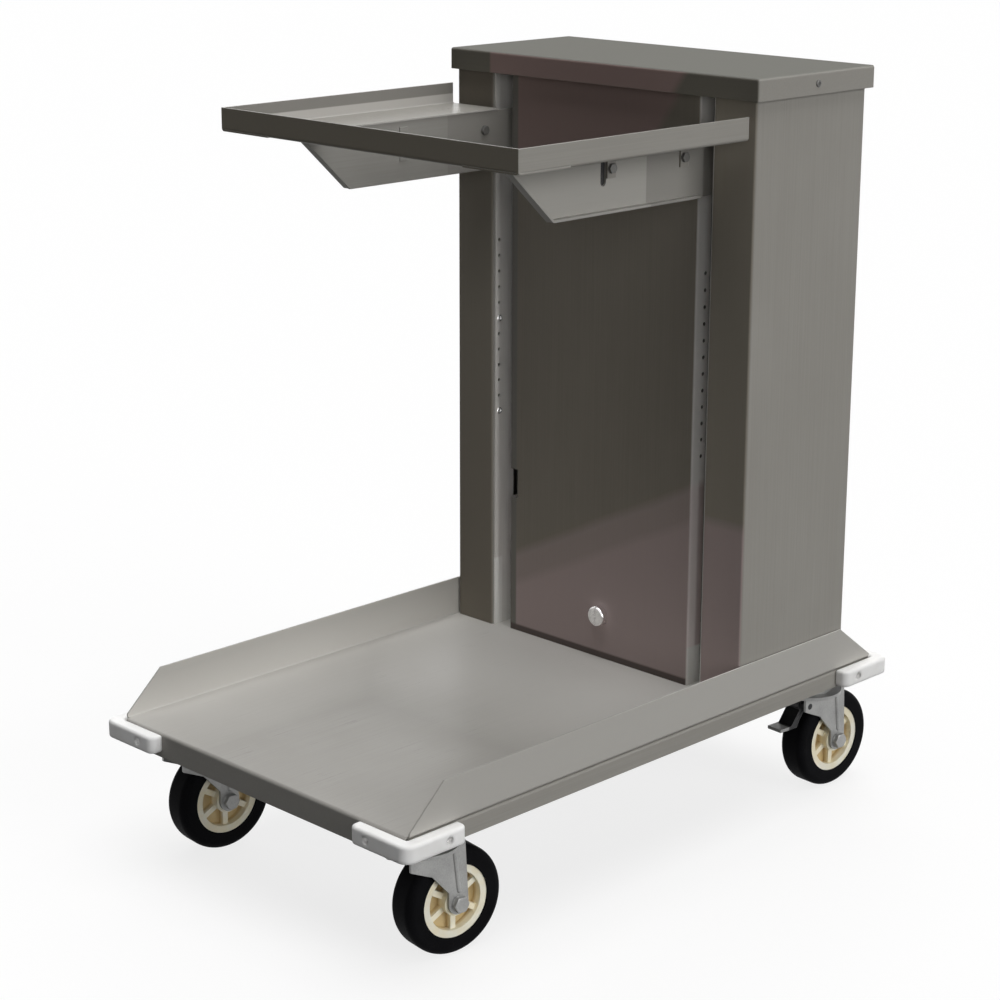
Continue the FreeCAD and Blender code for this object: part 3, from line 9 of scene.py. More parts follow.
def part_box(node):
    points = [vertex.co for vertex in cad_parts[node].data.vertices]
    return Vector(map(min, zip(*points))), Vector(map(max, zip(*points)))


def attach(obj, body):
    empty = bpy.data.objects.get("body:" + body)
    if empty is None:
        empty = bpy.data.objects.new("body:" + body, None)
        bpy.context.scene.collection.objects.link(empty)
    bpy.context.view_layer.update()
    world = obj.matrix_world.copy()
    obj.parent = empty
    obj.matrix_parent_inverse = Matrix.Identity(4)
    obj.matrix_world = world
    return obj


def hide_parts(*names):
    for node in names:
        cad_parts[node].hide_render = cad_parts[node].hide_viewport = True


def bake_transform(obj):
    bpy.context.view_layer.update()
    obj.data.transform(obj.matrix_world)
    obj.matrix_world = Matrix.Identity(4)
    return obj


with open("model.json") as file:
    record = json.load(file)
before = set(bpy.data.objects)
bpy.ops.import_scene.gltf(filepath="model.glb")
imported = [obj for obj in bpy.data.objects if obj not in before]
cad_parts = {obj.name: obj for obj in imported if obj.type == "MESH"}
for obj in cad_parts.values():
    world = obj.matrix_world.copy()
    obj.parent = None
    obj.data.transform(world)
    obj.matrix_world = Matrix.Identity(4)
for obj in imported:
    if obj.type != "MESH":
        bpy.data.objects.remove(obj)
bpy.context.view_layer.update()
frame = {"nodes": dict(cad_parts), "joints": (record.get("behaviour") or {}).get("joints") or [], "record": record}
NODES = frame["nodes"]
JOINTS = {joint["name"]: joint for joint in frame["joints"]}
CORNERS = ("front_left", "front_right", "rear_left", "rear_right")

# Camera, in metres and degrees, on a 36 mm sensor
CAMERA_PLACE = (1.9644, -2.0019, 1.2238)
CAMERA_YAW = -44.851
CAMERA_PITCH = 16.172
CAMERA_ROLL = 0.151
CAMERA_LENS = 87.43

# Light: where each lamp shines from, its strength and its spread in degrees
LAMPS = {
    "overhead": ((0.08, 0.03, 0.99), 2.36, 56.0),
    "side": ((0.955, 0.14, 0.16), 2.00, 45.0),
    "front": ((0.70, -0.68, 0.22), 0.275, 30.0),
    "fill": ((-0.66, 0.66, 0.28), 1.25, 60.0),
}
AMBIENT = 0.02
FLOOR_RADIUS = 30.0
FLOOR_SIDES = 96
FLOOR_BOUNCE = 0.03
FLOOR_SHOWN = 0.95
FLOOR_WHITENING = 0.80

# Small hardware, in metres, with shares of a head's or washer's own size
MERGE = 0.00001
END_DEPTH = 0.0001
HEADED_SHARE = 0.75
SCREW_HEAD_RADIUS = 0.0045
SCREW_HEAD_HEIGHT = 0.0020
SCREW_DOME = ((1.00, 0.0), (1.00, 0.30), (0.95, 0.55), (0.82, 0.78), (0.60, 0.93), (0.30, 1.00))
RECESS_WIDTH = 0.0011
RECESS_LENGTH = 0.0052
RECESS_DEPTH = 0.0014
BOLT_HEAD_RADIUS = 0.0060
BOLT_HEAD_HEIGHT = 0.0040
BOLT_RADIUS = 0.0030
AXLE_HEAD_RADIUS = 0.0100
AXLE_HEAD_HEIGHT = 0.0070
AXLE_RADIUS = 0.0060
HEX_SIDES = 6
CHAMFER_GROWTH = 1.01
CHAMFER_START = 0.86
CHAMFER_TOP = 0.95
WASHER_SHARE = 0.20
WASHER_GROWTH = 1.12
WASHER_FACE = 0.97
WASHER_ROUND_LOW = 0.3
WASHER_ROUND_HIGH = 0.8
ROUND_SIDES = 32
ROD_SIDES = 20

# Dark plates behind the arms' slots, standing in for the shade inside them, in metres
SLOT_PLATE_SHEET = 0.0015
SLOT_PLATE_WIDTH = 0.013
SLOT_PLATE_HEIGHT = 0.040
SLOT_PLATE_SETBACK = 0.1697
SLOT_PLATE_DROP = 0.027

# Lift springs, in metres
SPRING_COUNT = 6
SPRING_PITCH = 0.050
SPRING_RADIUS = 0.0086
WIRE_RADIUS = 0.0014
WIRE_SIDES = 8
HOOK_RADIUS = 0.0077
HOOK_SWEEP = 300.0
HOOK_STEPS = 20
NECK_LENGTH = 0.0100
NECK_STEPS = 8
COIL_GAP = 0.0002
COIL_STEPS = 14

# Places on the object where its colour changes or where light, shade or a reflection is painted on, in metres, and
# how much of the new tone shows
WHEEL_WEB_DEPTH = 0.0055
WHEEL_RIB_DEPTH = 0.0105
PEDAL_TIP_BARE = 0.016
PEDAL_SOFTNESS = 0.002
PEDAL_UNEVENNESS = 0.003
SHARP_CHANGE = 0.001
# Painted bright reflection at the foot of the slot strips and the panel's returns
FOOT_REFLECTION_SOFTNESS = 0.003
FOOT_REFLECTION_UNEVENNESS = 0.006
STRIP_REFLECTION_HEIGHT = {"left": 0.268, "right": 0.225}
STRIP_REFLECTION_DEPTH = 0.013
STRIP_SHADE_DEPTH = 0.020
SLOT_REACH = 0.200
# Painted shade along the panel's left edge and its foot
PANEL_EDGE_WIDTH = 0.011
PANEL_EDGE_SOFTNESS = 0.002
PANEL_FOOT_HEIGHT = 0.007
PANEL_FOOT_SOFTNESS = 0.003
# Painted reflection of the deck on the tower's front; the post heights set painted shade on the left post
DECK_REFLECTION_HEIGHT = 0.309
DECK_REFLECTION_STEP = 0.042
DECK_REFLECTION_SLOPE = 0.50
SHADE_AND_REFLECTION_SOFTNESS = 0.014
DECK_REFLECTION_SHARE = 0.8
DECK_REFLECTION_FIRST_SHARE = 0.45
DECK_REFLECTION_SECOND_SHARE = 0.28
POST_REFLECTION_HEIGHT = 0.395
POST_DARK_HEIGHT = 0.600
POST_FOOT_HEIGHT = 0.250
POST_FOOT_SHARE = 0.72
# Painted warm reflection across the tower's front above the arms
TINT_HEIGHT = 0.800
TINT_LEFT = -0.175
TINT_LEFT_SOFTNESS = 0.0035
TINT_RIGHT = 0.047
TINT_SLOPE = 0.70
TINT_SHARE = 0.8
# How much painted shade shows on fronts, and painted light on the right arm
TONE_SHARE = 0.7
# Painted light on the deck along the fold, toward the tower and toward the left wall
FOLD_REACH = 0.050
FOLD_UNEVENNESS = 0.0125
DECK_FAR_REACH = 0.300
DECK_LEFT_REACH = 0.150
DECK_LEFT_SHARE = 0.5
# Painted shade on the arms' last stretch before the tower
ARM_REAR_LENGTH = 0.097
LEDGE_REACH = 0.013
LEDGE_FADE_REACH = 0.0143
# Painted reflection, light and shade on the panel's returns
RETURN_REFLECTION_HEIGHT = 0.430
RETURN_LIT_DEPTH = 0.013
RETURN_WARM_DEPTH = 0.0169

# How far a surface has turned when it begins to face a side or the middle, and when it fully does
FACING_START = 0.5
FACING_FULL = 0.9
INWARD_START = -0.05
INWARD_FULL = -0.10

# Edges: radius in metres, and how much of the rubbed colour shows
BEVEL_SAMPLES = 4
EDGE_START = 0.995
EDGE_FULL = 0.80
STEEL_EDGE_RADIUS = 0.0012
STEEL_EDGE_SHARE = 0.6
METAL_EDGE_RADIUS = 0.0006
METAL_EDGE_SHARE = 0.5
PLASTIC_EDGE_RADIUS = 0.0008
BUMPER_EDGE_RADIUS = 0.006
WHEEL_EDGE_RADIUS = 0.0010

# Noise in the finishes: scale, detail and, where it isn't the usual one, roughness
NOISE_DETAIL = 4.0
NOISE_ROUGHNESS = 0.55
GRAIN_ALONG = 6.0
GRAIN_ACROSS = 700.0
GRAIN_DETAIL = (3.0, 0.65)
STEEL_CLOUD = (5.0, 5.0)
STEEL_SMEAR = (24.0, 5.0, 0.6)
METAL_FINE = (600.0, 5.0, 0.6)
METAL_BROAD = (45.0, NOISE_DETAIL)
PLASTIC_FINE = (700.0, 3.0)
PLASTIC_BROAD = (20.0, 5.0)
HUB_FINE = (900.0, 3.0)
HUB_BROAD = (35.0, NOISE_DETAIL)
TYRE_FINE = (600.0, 3.0)
TYRE_BROAD = (28.0, 5.0)

# Ranges of that noise that a colour or a roughness follows
MOTTLE = (0.38, 0.62)
TYRE_MOTTLE = (0.40, 0.60)
METAL_SPREAD = (0.35, 0.65)
PLASTIC_SPREAD = (0.3, 0.7)

# Gloss and roughness, bump as strength and depth in metres, and the tyre's moulded rings
STEEL_SPECULAR = 0.03
METAL_SPECULAR = 0.3
HUB_SPECULAR = 0.50
TYRE_SPECULAR = 0.03
STEEL_ROUGHNESS = (0.26, 0.44)
HUB_ROUGHNESS = (0.32, 0.46)
TYRE_ROUGHNESS = (0.55, 0.75)
ROUGHNESS_DRIFT = 0.08
STEEL_BUMP = (0.06, 0.0002)
METAL_BUMP = (0.08, 0.0002)
PLASTIC_BUMP = (0.15, 0.0003)
HUB_BUMP = (0.1, 0.0003)
TYRE_BUMP = (0.2, 0.0004)
TYRE_RINGS = 2600.0
TYRE_RING_SHARE = 0.25

# Colours, linear
STEEL = ((0.300, 0.288, 0.262, 1), (0.330, 0.318, 0.292, 1))
DECK_STEEL = ((0.340, 0.328, 0.305, 1), (0.378, 0.366, 0.342, 1))
# Painted light on the deck: lighter side walls, a highlight along the fold, and light toward the tower and the
# left wall
DECK_WALL_LIGHT = (0.450, 0.437, 0.409, 1)
DECK_FOLD_HIGHLIGHT = (0.625, 0.610, 0.575, 1)
DECK_PAINTED_LIGHT = (0.720, 0.705, 0.670, 1)
LIP_DARK = (0.250, 0.240, 0.222, 1)
# Painted shade on the frame's front
LIP_FRONT_SHADE = (0.205, 0.180, 0.135, 1)
LIP_LIGHT = (0.500, 0.484, 0.456, 1)
ARM_STEEL = ((0.335, 0.325, 0.300, 1), (0.365, 0.355, 0.330, 1))
# Painted highlight on the arms' upward faces, painted shade next to the tower, painted light on the right arm
ARM_TOP_HIGHLIGHT = (0.520, 0.508, 0.478, 1)
ARM_REAR_SHADE = (0.305, 0.295, 0.272, 1)
ARM_RIGHT_LIGHT = (0.436, 0.423, 0.392, 1)
# Painted shade on the cap's top and front
CAP_TOP_SHADE = (0.215, 0.213, 0.194, 1)
CAP_FRONT_SHADE = (0.115, 0.105, 0.080, 1)
# Painted light in the slots: pale strips, less pale at their front; pale returns with a painted shaded reflection
# deeper in; a painted bright reflection at the foot
STRIP_LIT_STEEL = ((0.80, 0.78, 0.75, 1), (0.90, 0.88, 0.85, 1))
STRIP_FRONT = (0.76, 0.735, 0.70, 1)
RETURN_LIT_FRONT = (0.95, 0.86, 0.85, 1)
RETURN_SHADED_REFLECTION = (0.62, 0.51, 0.50, 1)
FOOT_REFLECTION = (0.95, 0.94, 0.91, 1)
STEEL_EDGE = (0.47, 0.46, 0.43, 1)
PANEL_STEEL = ((0.241, 0.219, 0.184, 1), (0.265, 0.241, 0.204, 1))
# Painted reflections on the tower's front, of the deck low down and warm above the arms; painted shade along the
# panel's left edge and foot
PANEL_DECK_REFLECTION = (0.482, 0.384, 0.382, 1)
PANEL_UPPER_REFLECTION = (0.340, 0.242, 0.228, 1)
PANEL_EDGE_SHADE = (0.215, 0.204, 0.186, 1)
PANEL_FOOT_SHADE = (0.130, 0.108, 0.100, 1)
# Painted shade on the posts' fronts
POST_FRONT_SHADE = (0.318, 0.282, 0.226, 1)
POST_PAINTED_SHADE = (0.187, 0.166, 0.136, 1)
ZINC = ((0.31, 0.31, 0.305, 1), (0.41, 0.41, 0.40, 1))
DULL_ZINC = ((0.13, 0.127, 0.12, 1), (0.20, 0.196, 0.186, 1))
BRIGHT = ((0.86, 0.85, 0.85, 1), (0.96, 0.95, 0.95, 1))
SPRING_WIRE = ((0.16, 0.16, 0.17, 1), (0.30, 0.30, 0.31, 1))
VINYL = ((0.86, 0.855, 0.84, 1), (0.93, 0.928, 0.92, 1))
TYRE = ((0.0025, 0.0025, 0.003, 1), (0.006, 0.006, 0.007, 1))
HUB = ((0.97, 0.89, 0.66, 1), (0.99, 0.96, 0.82, 1))
HUB_POCKET = (0.62, 0.48, 0.25, 1)
NYLON = ((0.66, 0.64, 0.58, 1), (0.80, 0.79, 0.73, 1))
RUBBER = ((0.025, 0.025, 0.025, 1), (0.05, 0.05, 0.05, 1))
BLACK_PAINT = (0.012, 0.012, 0.013, 1)


# Node building

def make(tree, kind, values=None, **settings):
    """Add a shader node; a value that is another node's output gets linked."""
    node = tree.nodes.new("ShaderNode" + kind)
    for key, value in settings.items():
        setattr(node, key, value)
    for key, value in (values or {}).items():
        if isinstance(value, bpy.types.NodeSocket):
            tree.links.new(value, node.inputs[key])
        else:
            node.inputs[key].default_value = value
    return node


def new_material(name, metallic, specular):
    """A material with one shader, whose plain settings are made on it directly."""
    material = bpy.data.materials.new(name)
    material.use_nodes = True
    shader = material.node_tree.nodes["Principled BSDF"]
    shader.inputs["Metallic"].default_value = metallic
    shader.inputs["Specular IOR Level"].default_value = specular
    return material, material.node_tree, shader


def finish_shader(tree, shader, colour, roughness, normal):
    """Link what varies over the surface."""
    tree.links.new(colour, shader.inputs["Base Color"])
    tree.links.new(roughness, shader.inputs["Roughness"])
    tree.links.new(normal, shader.inputs["Normal"])


def object_place(tree):
    """Where a point is on the object, in metres."""
    return make(tree, "TexCoord").outputs["Object"]


def noise(tree, place, scale, detail=NOISE_DETAIL, roughness=NOISE_ROUGHNESS):
    """Noise from 0 to 1, with its own scale along each axis."""
    spread = make(tree, "Mapping", {"Vector": place, "Scale": scale}).outputs["Vector"]
    values = {"Vector": spread, "Scale": 1.0, "Detail": detail, "Roughness": roughness}
    return make(tree, "TexNoise", values).outputs["Fac"]


def even_noise(tree, place, scale, detail=NOISE_DETAIL, roughness=NOISE_ROUGHNESS):
    """Noise with one scale along every axis."""
    return noise(tree, place, (scale, scale, scale), detail, roughness)


def ranged(tree, value, low, high, to_low=0.0, to_high=1.0):
    """A value moved from one range to another and kept inside it."""
    values = {"Value": value, "From Min": low, "From Max": high, "To Min": to_low, "To Max": to_high}
    return make(tree, "MapRange", values).outputs["Result"]


def mixed(tree, amount, first, second):
    """A colour between two others."""
    node = make(tree, "Mix", data_type="RGBA")
    for socket, value in ((node.inputs[0], amount), (node.inputs[6], first), (node.inputs[7], second)):
        if isinstance(value, bpy.types.NodeSocket):
            tree.links.new(value, socket)
        else:
            socket.default_value = value
    return node.outputs[2]


def maths(tree, operation, first, second=0.0):
    """One sum on two values."""
    return make(tree, "Math", {0: first, 1: second}, operation=operation).outputs[0]


def vectors(tree, operation, first, second, result="Vector"):
    """One sum on two vectors."""
    return make(tree, "VectorMath", {0: first, 1: second}, operation=operation).outputs[result]


def average(tree, first, second):
    """The value half-way between two others."""
    return maths(tree, "MULTIPLY", maths(tree, "ADD", first, second), 0.5)


def edges(tree, radius):
    """Softened normal, and how near a point is to a rubbed edge."""
    soft = make(tree, "Bevel", {"Radius": radius}, samples=BEVEL_SAMPLES).outputs["Normal"]
    flat = make(tree, "NewGeometry").outputs["Normal"]
    along = vectors(tree, "DOT_PRODUCT", soft, flat, "Value")
    return soft, ranged(tree, along, EDGE_START, EDGE_FULL)


def bumped(tree, height, strength, distance, normal):
    """A normal with small heights added."""
    values = {"Height": height, "Strength": strength, "Distance": distance, "Normal": normal}
    return make(tree, "Bump", values).outputs["Normal"]


# Materials

GRAIN = {
    "x": (GRAIN_ALONG, GRAIN_ACROSS, GRAIN_ACROSS),
    "y": (GRAIN_ACROSS, GRAIN_ALONG, GRAIN_ACROSS),
    "z": (GRAIN_ACROSS, GRAIN_ACROSS, GRAIN_ALONG),
}


def steel(name, grain, colours=STEEL, zone=None, specular=STEEL_SPECULAR):
    """Satin stainless sheet with a fine grain along one axis, faint clouds and rubbed edges."""
    material, tree, shader = new_material(name, 0.0, specular)
    place = object_place(tree)
    streak = noise(tree, place, GRAIN[grain], *GRAIN_DETAIL)
    cloud = even_noise(tree, place, *STEEL_CLOUD)
    smear = even_noise(tree, place, *STEEL_SMEAR)
    colour = mixed(tree, ranged(tree, average(tree, streak, cloud), *MOTTLE), *colours)
    if zone:
        colour = zone(tree, place, cloud, colour)
    soft, rubbed = edges(tree, STEEL_EDGE_RADIUS)
    colour = mixed(tree, maths(tree, "MULTIPLY", rubbed, STEEL_EDGE_SHARE), colour, STEEL_EDGE)
    roughness = ranged(tree, average(tree, streak, smear), *METAL_SPREAD, *STEEL_ROUGHNESS)
    finish_shader(tree, shader, colour, roughness, bumped(tree, streak, *STEEL_BUMP, soft))
    return material


def part_of(tree, vector, axis):
    """One of the three numbers of a vector."""
    return make(tree, "SeparateXYZ", {"Vector": vector}).outputs[axis]


def height_of(tree, place):
    """How high a point is above the floor."""
    return part_of(tree, place, "Z")


def facing(tree, axis):
    """How far a surface faces along one axis, from -1 to 1."""
    return part_of(tree, make(tree, "NewGeometry").outputs["Normal"], axis)


def sideways(tree):
    """1 on surfaces that face left or right."""
    return ranged(tree, maths(tree, "ABSOLUTE", facing(tree, "X")), FACING_START, FACING_FULL)


def inward(tree, place):
    """1 on surfaces that face the middle of the object from its left or right."""
    toward = maths(tree, "MULTIPLY", facing(tree, "X"), part_of(tree, place, "X"))
    return ranged(tree, toward, INWARD_START, INWARD_FULL)


def forward(tree):
    """1 on surfaces that face the front."""
    return ranged(tree, facing(tree, "Y"), -FACING_START, -FACING_FULL)


def upward(tree):
    """1 on surfaces that face up."""
    return ranged(tree, facing(tree, "Z"), FACING_START, FACING_FULL)


def uneven_height(tree, place, cloud, unevenness):
    """Height with a little noise on it, so that an edge drawn by it isn't straight."""
    return maths(tree, "ADD", height_of(tree, place), maths(tree, "MULTIPLY", cloud, unevenness))


def shaded_front(tree, colour, tone):
    """Painted shade: a colour that is mostly another, darker one on surfaces that face the front."""
    return mixed(tree, maths(tree, "MULTIPLY", forward(tree), TONE_SHARE), colour, tone)


def deck_zone(tree, place, cloud, colour):
    """Painted light: the deck is lighter toward the tower and the left wall, which shade it; its side-facing walls
    are painted lighter, and lightest along the fold as a painted highlight.
    """
    tower_left, tower_front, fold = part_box("tower_side_left")[0]
    across = part_of(tree, place, "X")
    far = ranged(tree, part_of(tree, place, "Y"), tower_front - DECK_FAR_REACH, tower_front)
    left = ranged(tree, across, tower_left + DECK_LEFT_REACH, tower_left, 0.0, DECK_LEFT_SHARE)
    light = maths(tree, "MULTIPLY", upward(tree), maths(tree, "MAXIMUM", far, left))
    colour = mixed(tree, light, colour, DECK_PAINTED_LIGHT)
    rise = uneven_height(tree, place, cloud, FOLD_UNEVENNESS)
    low = maths(tree, "MULTIPLY", inward(tree, place), ranged(tree, rise, fold + FOLD_REACH, fold))
    return mixed(tree, low, mixed(tree, sideways(tree), colour, DECK_WALL_LIGHT), DECK_FOLD_HIGHLIGHT)


def frame_zone(tree, place, cloud, colour):
    """The tray frame's lip has painted shade on its front, and inside it is lighter along the ledge than along its
    edge."""
    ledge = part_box("arm_left")[1][2]
    low = ranged(tree, height_of(tree, place), ledge + LEDGE_FADE_REACH, ledge + LEDGE_REACH)
    colour = shaded_front(tree, colour, LIP_FRONT_SHADE)
    return mixed(tree, inward(tree, place), colour, mixed(tree, low, LIP_DARK, LIP_LIGHT))


def arm_zone(tree, place, cloud, colour):
    """The right arm has painted light; both have painted shade next to the tower and a painted highlight on their
    upward faces along the turned-out lower edge."""
    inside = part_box("arm_right")[0][0]
    right = ranged(tree, part_of(tree, place, "X"), 0.0, inside, 0.0, TONE_SHARE)
    colour = mixed(tree, right, colour, ARM_RIGHT_LIGHT)
    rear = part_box("tower_side_left")[0][1] - ARM_REAR_LENGTH
    near = ranged(tree, part_of(tree, place, "Y"), rear, rear + SHARP_CHANGE)
    colour = mixed(tree, near, colour, ARM_REAR_SHADE)
    return mixed(tree, upward(tree), colour, ARM_TOP_HIGHLIGHT)


def upper_reflection(tree, place, colour):
    """A painted warm reflection across the tower's front above the arms, as far as a slant on the right."""
    across = part_of(tree, place, "X")
    height = height_of(tree, place)
    slant = maths(tree, "SUBTRACT", across, maths(tree, "MULTIPLY", height, TINT_SLOPE))
    edge = TINT_RIGHT - TINT_HEIGHT * TINT_SLOPE
    high = ranged(tree, height, TINT_HEIGHT - SHADE_AND_REFLECTION_SOFTNESS, TINT_HEIGHT, 0.0, TINT_SHARE)
    right = ranged(tree, slant, edge + SHADE_AND_REFLECTION_SOFTNESS, edge)
    left = ranged(tree, across, TINT_LEFT - TINT_LEFT_SOFTNESS, TINT_LEFT)
    between = maths(tree, "MULTIPLY", left, right)
    return mixed(tree, maths(tree, "MULTIPLY", high, between), colour, PANEL_UPPER_REFLECTION)


def cap_zone(tree, place, cloud, colour):
    """Painted shade: the cap's top is darker than its sides, and its front darkest, with the panel's painted warm
    reflection.
    """
    front = shaded_front(tree, colour, CAP_FRONT_SHADE)
    lip = mixed(tree, forward(tree), colour, upper_reflection(tree, place, front))
    return mixed(tree, upward(tree), lip, CAP_TOP_SHADE)


def foot_reflection_below(tree, place, cloud, top, colour):
    """A painted bright reflection below a height."""
    uneven = uneven_height(tree, place, cloud, FOOT_REFLECTION_UNEVENNESS)
    return mixed(tree, ranged(tree, uneven, top + FOOT_REFLECTION_SOFTNESS, top), colour, FOOT_REFLECTION)


def deck_reflection_below(tree, place, cloud, top):
    """The share of a painted warm reflection of the deck that a surface has below a height."""
    uneven = uneven_height(tree, place, cloud, SHADE_AND_REFLECTION_SOFTNESS)
    return ranged(tree, uneven, top + SHADE_AND_REFLECTION_SOFTNESS, top, 0.0, DECK_REFLECTION_SHARE)


def return_zone(tree, place, cloud):
    """The panel's folded returns are painted pale as light in the slot, with a painted warm reflection low down,
    painted shade there away from the front, and a painted bright reflection at the foot.
    """
    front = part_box("access_panel")[0][1]
    low = deck_reflection_below(tree, place, cloud, RETURN_REFLECTION_HEIGHT)
    back = part_of(tree, place, "Y")
    deep = ranged(tree, back, front + RETURN_LIT_DEPTH, front + RETURN_WARM_DEPTH)
    warm = mixed(tree, deep, RETURN_LIT_FRONT, RETURN_SHADED_REFLECTION)
    colour = mixed(tree, low, STRIP_LIT_STEEL[1], warm)
    return foot_reflection_below(tree, place, cloud, STRIP_REFLECTION_HEIGHT["right"], colour)


def panel_zone(tree, place, cloud, colour):
    """The front sheet has a painted warm reflection behind the tray frame, a painted reflection of the deck up to
    a slant in two steps, and painted shade along its left edge and its foot."""
    left, _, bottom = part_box("access_panel")[0]
    across = part_of(tree, place, "X")
    height = height_of(tree, place)
    slant = maths(tree, "SUBTRACT", height, maths(tree, "MULTIPLY", across, DECK_REFLECTION_SLOPE))
    uneven = maths(tree, "ADD", slant, maths(tree, "MULTIPLY", cloud, SHADE_AND_REFLECTION_SOFTNESS))
    step = DECK_REFLECTION_HEIGHT + DECK_REFLECTION_STEP
    first = ranged(tree, uneven, step + SHADE_AND_REFLECTION_SOFTNESS, step, 0.0, DECK_REFLECTION_FIRST_SHARE)
    second = ranged(tree, uneven, DECK_REFLECTION_HEIGHT + SHADE_AND_REFLECTION_SOFTNESS, DECK_REFLECTION_HEIGHT, 0.0, DECK_REFLECTION_SECOND_SHARE)
    front = upper_reflection(tree, place, mixed(tree, maths(tree, "ADD", first, second), colour, PANEL_DECK_REFLECTION))
    edge = left + PANEL_EDGE_WIDTH
    front = mixed(tree, ranged(tree, across, edge + PANEL_EDGE_SOFTNESS, edge), front, PANEL_EDGE_SHADE)
    foot = bottom + PANEL_FOOT_HEIGHT
    front = mixed(tree, ranged(tree, height, foot + PANEL_FOOT_SOFTNESS, foot), front, PANEL_FOOT_SHADE)
    return mixed(tree, sideways(tree), front, return_zone(tree, place, cloud))


def post_zone(tree, place, cloud, colour):
    """The right-hand post's front has warm painted shade, and low down the panel's painted reflection of the deck.
    """
    low = deck_reflection_below(tree, place, cloud, POST_REFLECTION_HEIGHT)
    front = shaded_front(tree, colour, POST_FRONT_SHADE)
    return mixed(tree, maths(tree, "MULTIPLY", forward(tree), low), front, PANEL_DECK_REFLECTION)


def left_post_zone(tree, place, cloud, colour):
    """The left-hand post's front has warm painted shade, darker above the arms and toward the deck."""
    height = height_of(tree, place)
    high = ranged(tree, height, TINT_HEIGHT - SHADE_AND_REFLECTION_SOFTNESS, TINT_HEIGHT)
    low = ranged(tree, height, POST_DARK_HEIGHT, POST_FOOT_HEIGHT, 0.0, POST_FOOT_SHARE)
    dark = maths(tree, "MULTIPLY", forward(tree), maths(tree, "MAXIMUM", high, low))
    return mixed(tree, dark, shaded_front(tree, colour, POST_FRONT_SHADE), POST_PAINTED_SHADE)


def strip_zone(side):
    """A slot strip is painted pale as light in the slot, less so toward the front, with a painted bright
    reflection there at its lower end.
    """
    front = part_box("slot_strip_" + side)[0][1]

    def zone(tree, place, cloud, colour):
        depth = maths(tree, "SUBTRACT", part_of(tree, place, "Y"), front)
        colour = mixed(tree, ranged(tree, depth, STRIP_SHADE_DEPTH, 0.0), colour, STRIP_FRONT)
        # A painted bright reflection at the strip's foot, kept to its front
        bare = foot_reflection_below(tree, place, cloud, STRIP_REFLECTION_HEIGHT[side], colour)
        deep = ranged(tree, depth, STRIP_REFLECTION_DEPTH, STRIP_REFLECTION_DEPTH + SHARP_CHANGE)
        return mixed(tree, deep, bare, colour)

    return zone


def drifting(tree, value, spread, roughness):
    """A roughness that goes a little up and down with a noise."""
    return ranged(tree, value, *spread, roughness - ROUGHNESS_DRIFT, roughness + ROUGHNESS_DRIFT)


def small_metal(name, colours, metallic, roughness, zone=None):
    """Plated or oiled small metal with a fine mottled surface."""
    material, tree, shader = new_material(name, metallic, METAL_SPECULAR)
    place = object_place(tree)
    fine = even_noise(tree, place, *METAL_FINE)
    broad = even_noise(tree, place, *METAL_BROAD)
    colour = mixed(tree, ranged(tree, average(tree, fine, broad), *MOTTLE), *colours)
    if zone:
        colour = zone(tree, place, broad, colour)
    soft, rubbed = edges(tree, METAL_EDGE_RADIUS)
    colour = mixed(tree, maths(tree, "MULTIPLY", rubbed, METAL_EDGE_SHARE), colour, colours[1])
    uneven = drifting(tree, broad, METAL_SPREAD, roughness)
    finish_shader(tree, shader, colour, uneven, bumped(tree, fine, *METAL_BUMP, soft))
    return material


def pedal_zone(tree, place, broad, colour):
    """The pedal's arm is painted black; its foot tab is rubbed bare at the tip."""
    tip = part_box("brake_pedal_rear_left")[0][1] + PEDAL_TIP_BARE
    drift = maths(tree, "MULTIPLY", broad, PEDAL_UNEVENNESS)
    uneven = maths(tree, "ADD", part_of(tree, place, "Y"), drift)
    return mixed(tree, ranged(tree, uneven, tip, tip + PEDAL_SOFTNESS), colour, BLACK_PAINT)


def moulded(name, colours, roughness, specular, edge=PLASTIC_EDGE_RADIUS):
    """Moulded plastic or rubber with a faint texture, slight colour drift and soft edges."""
    material, tree, shader = new_material(name, 0.0, specular)
    place = object_place(tree)
    fine = even_noise(tree, place, *PLASTIC_FINE)
    broad = even_noise(tree, place, *PLASTIC_BROAD)
    soft, _ = edges(tree, edge)
    colour = mixed(tree, ranged(tree, broad, *MOTTLE), *colours)
    uneven = drifting(tree, fine, PLASTIC_SPREAD, roughness)
    finish_shader(tree, shader, colour, uneven, bumped(tree, fine, *PLASTIC_BUMP, soft))
    return material


def from_axle(tree, place, joint):
    """Distance along a wheel's axle from its middle, and distance out from the axle."""
    away = vectors(tree, "SUBTRACT", place, joint["pos_m"])
    across = maths(tree, "ABSOLUTE", vectors(tree, "DOT_PRODUCT", away, joint["axis"], "Value"))
    crossed = vectors(tree, "CROSS_PRODUCT", away, joint["axis"])
    return across, make(tree, "VectorMath", {0: crossed}, operation="LENGTH").outputs["Value"]


def hub_material(name, joint):
    """Cream moulded hub; its recessed pockets are brown with shade and dust."""
    material, tree, shader = new_material(name, 0.0, HUB_SPECULAR)
    place = object_place(tree)
    across, _ = from_axle(tree, place, joint)
    broad = even_noise(tree, place, *HUB_BROAD)
    fine = even_noise(tree, place, *HUB_FINE)
    soft, _ = edges(tree, WHEEL_EDGE_RADIUS)
    colour = mixed(tree, ranged(tree, broad, *MOTTLE), *HUB)
    colour = mixed(tree, ranged(tree, across, WHEEL_RIB_DEPTH, WHEEL_WEB_DEPTH), colour, HUB_POCKET)
    uneven = ranged(tree, fine, *PLASTIC_SPREAD, *HUB_ROUGHNESS)
    finish_shader(tree, shader, colour, uneven, bumped(tree, fine, *HUB_BUMP, soft))
    return material


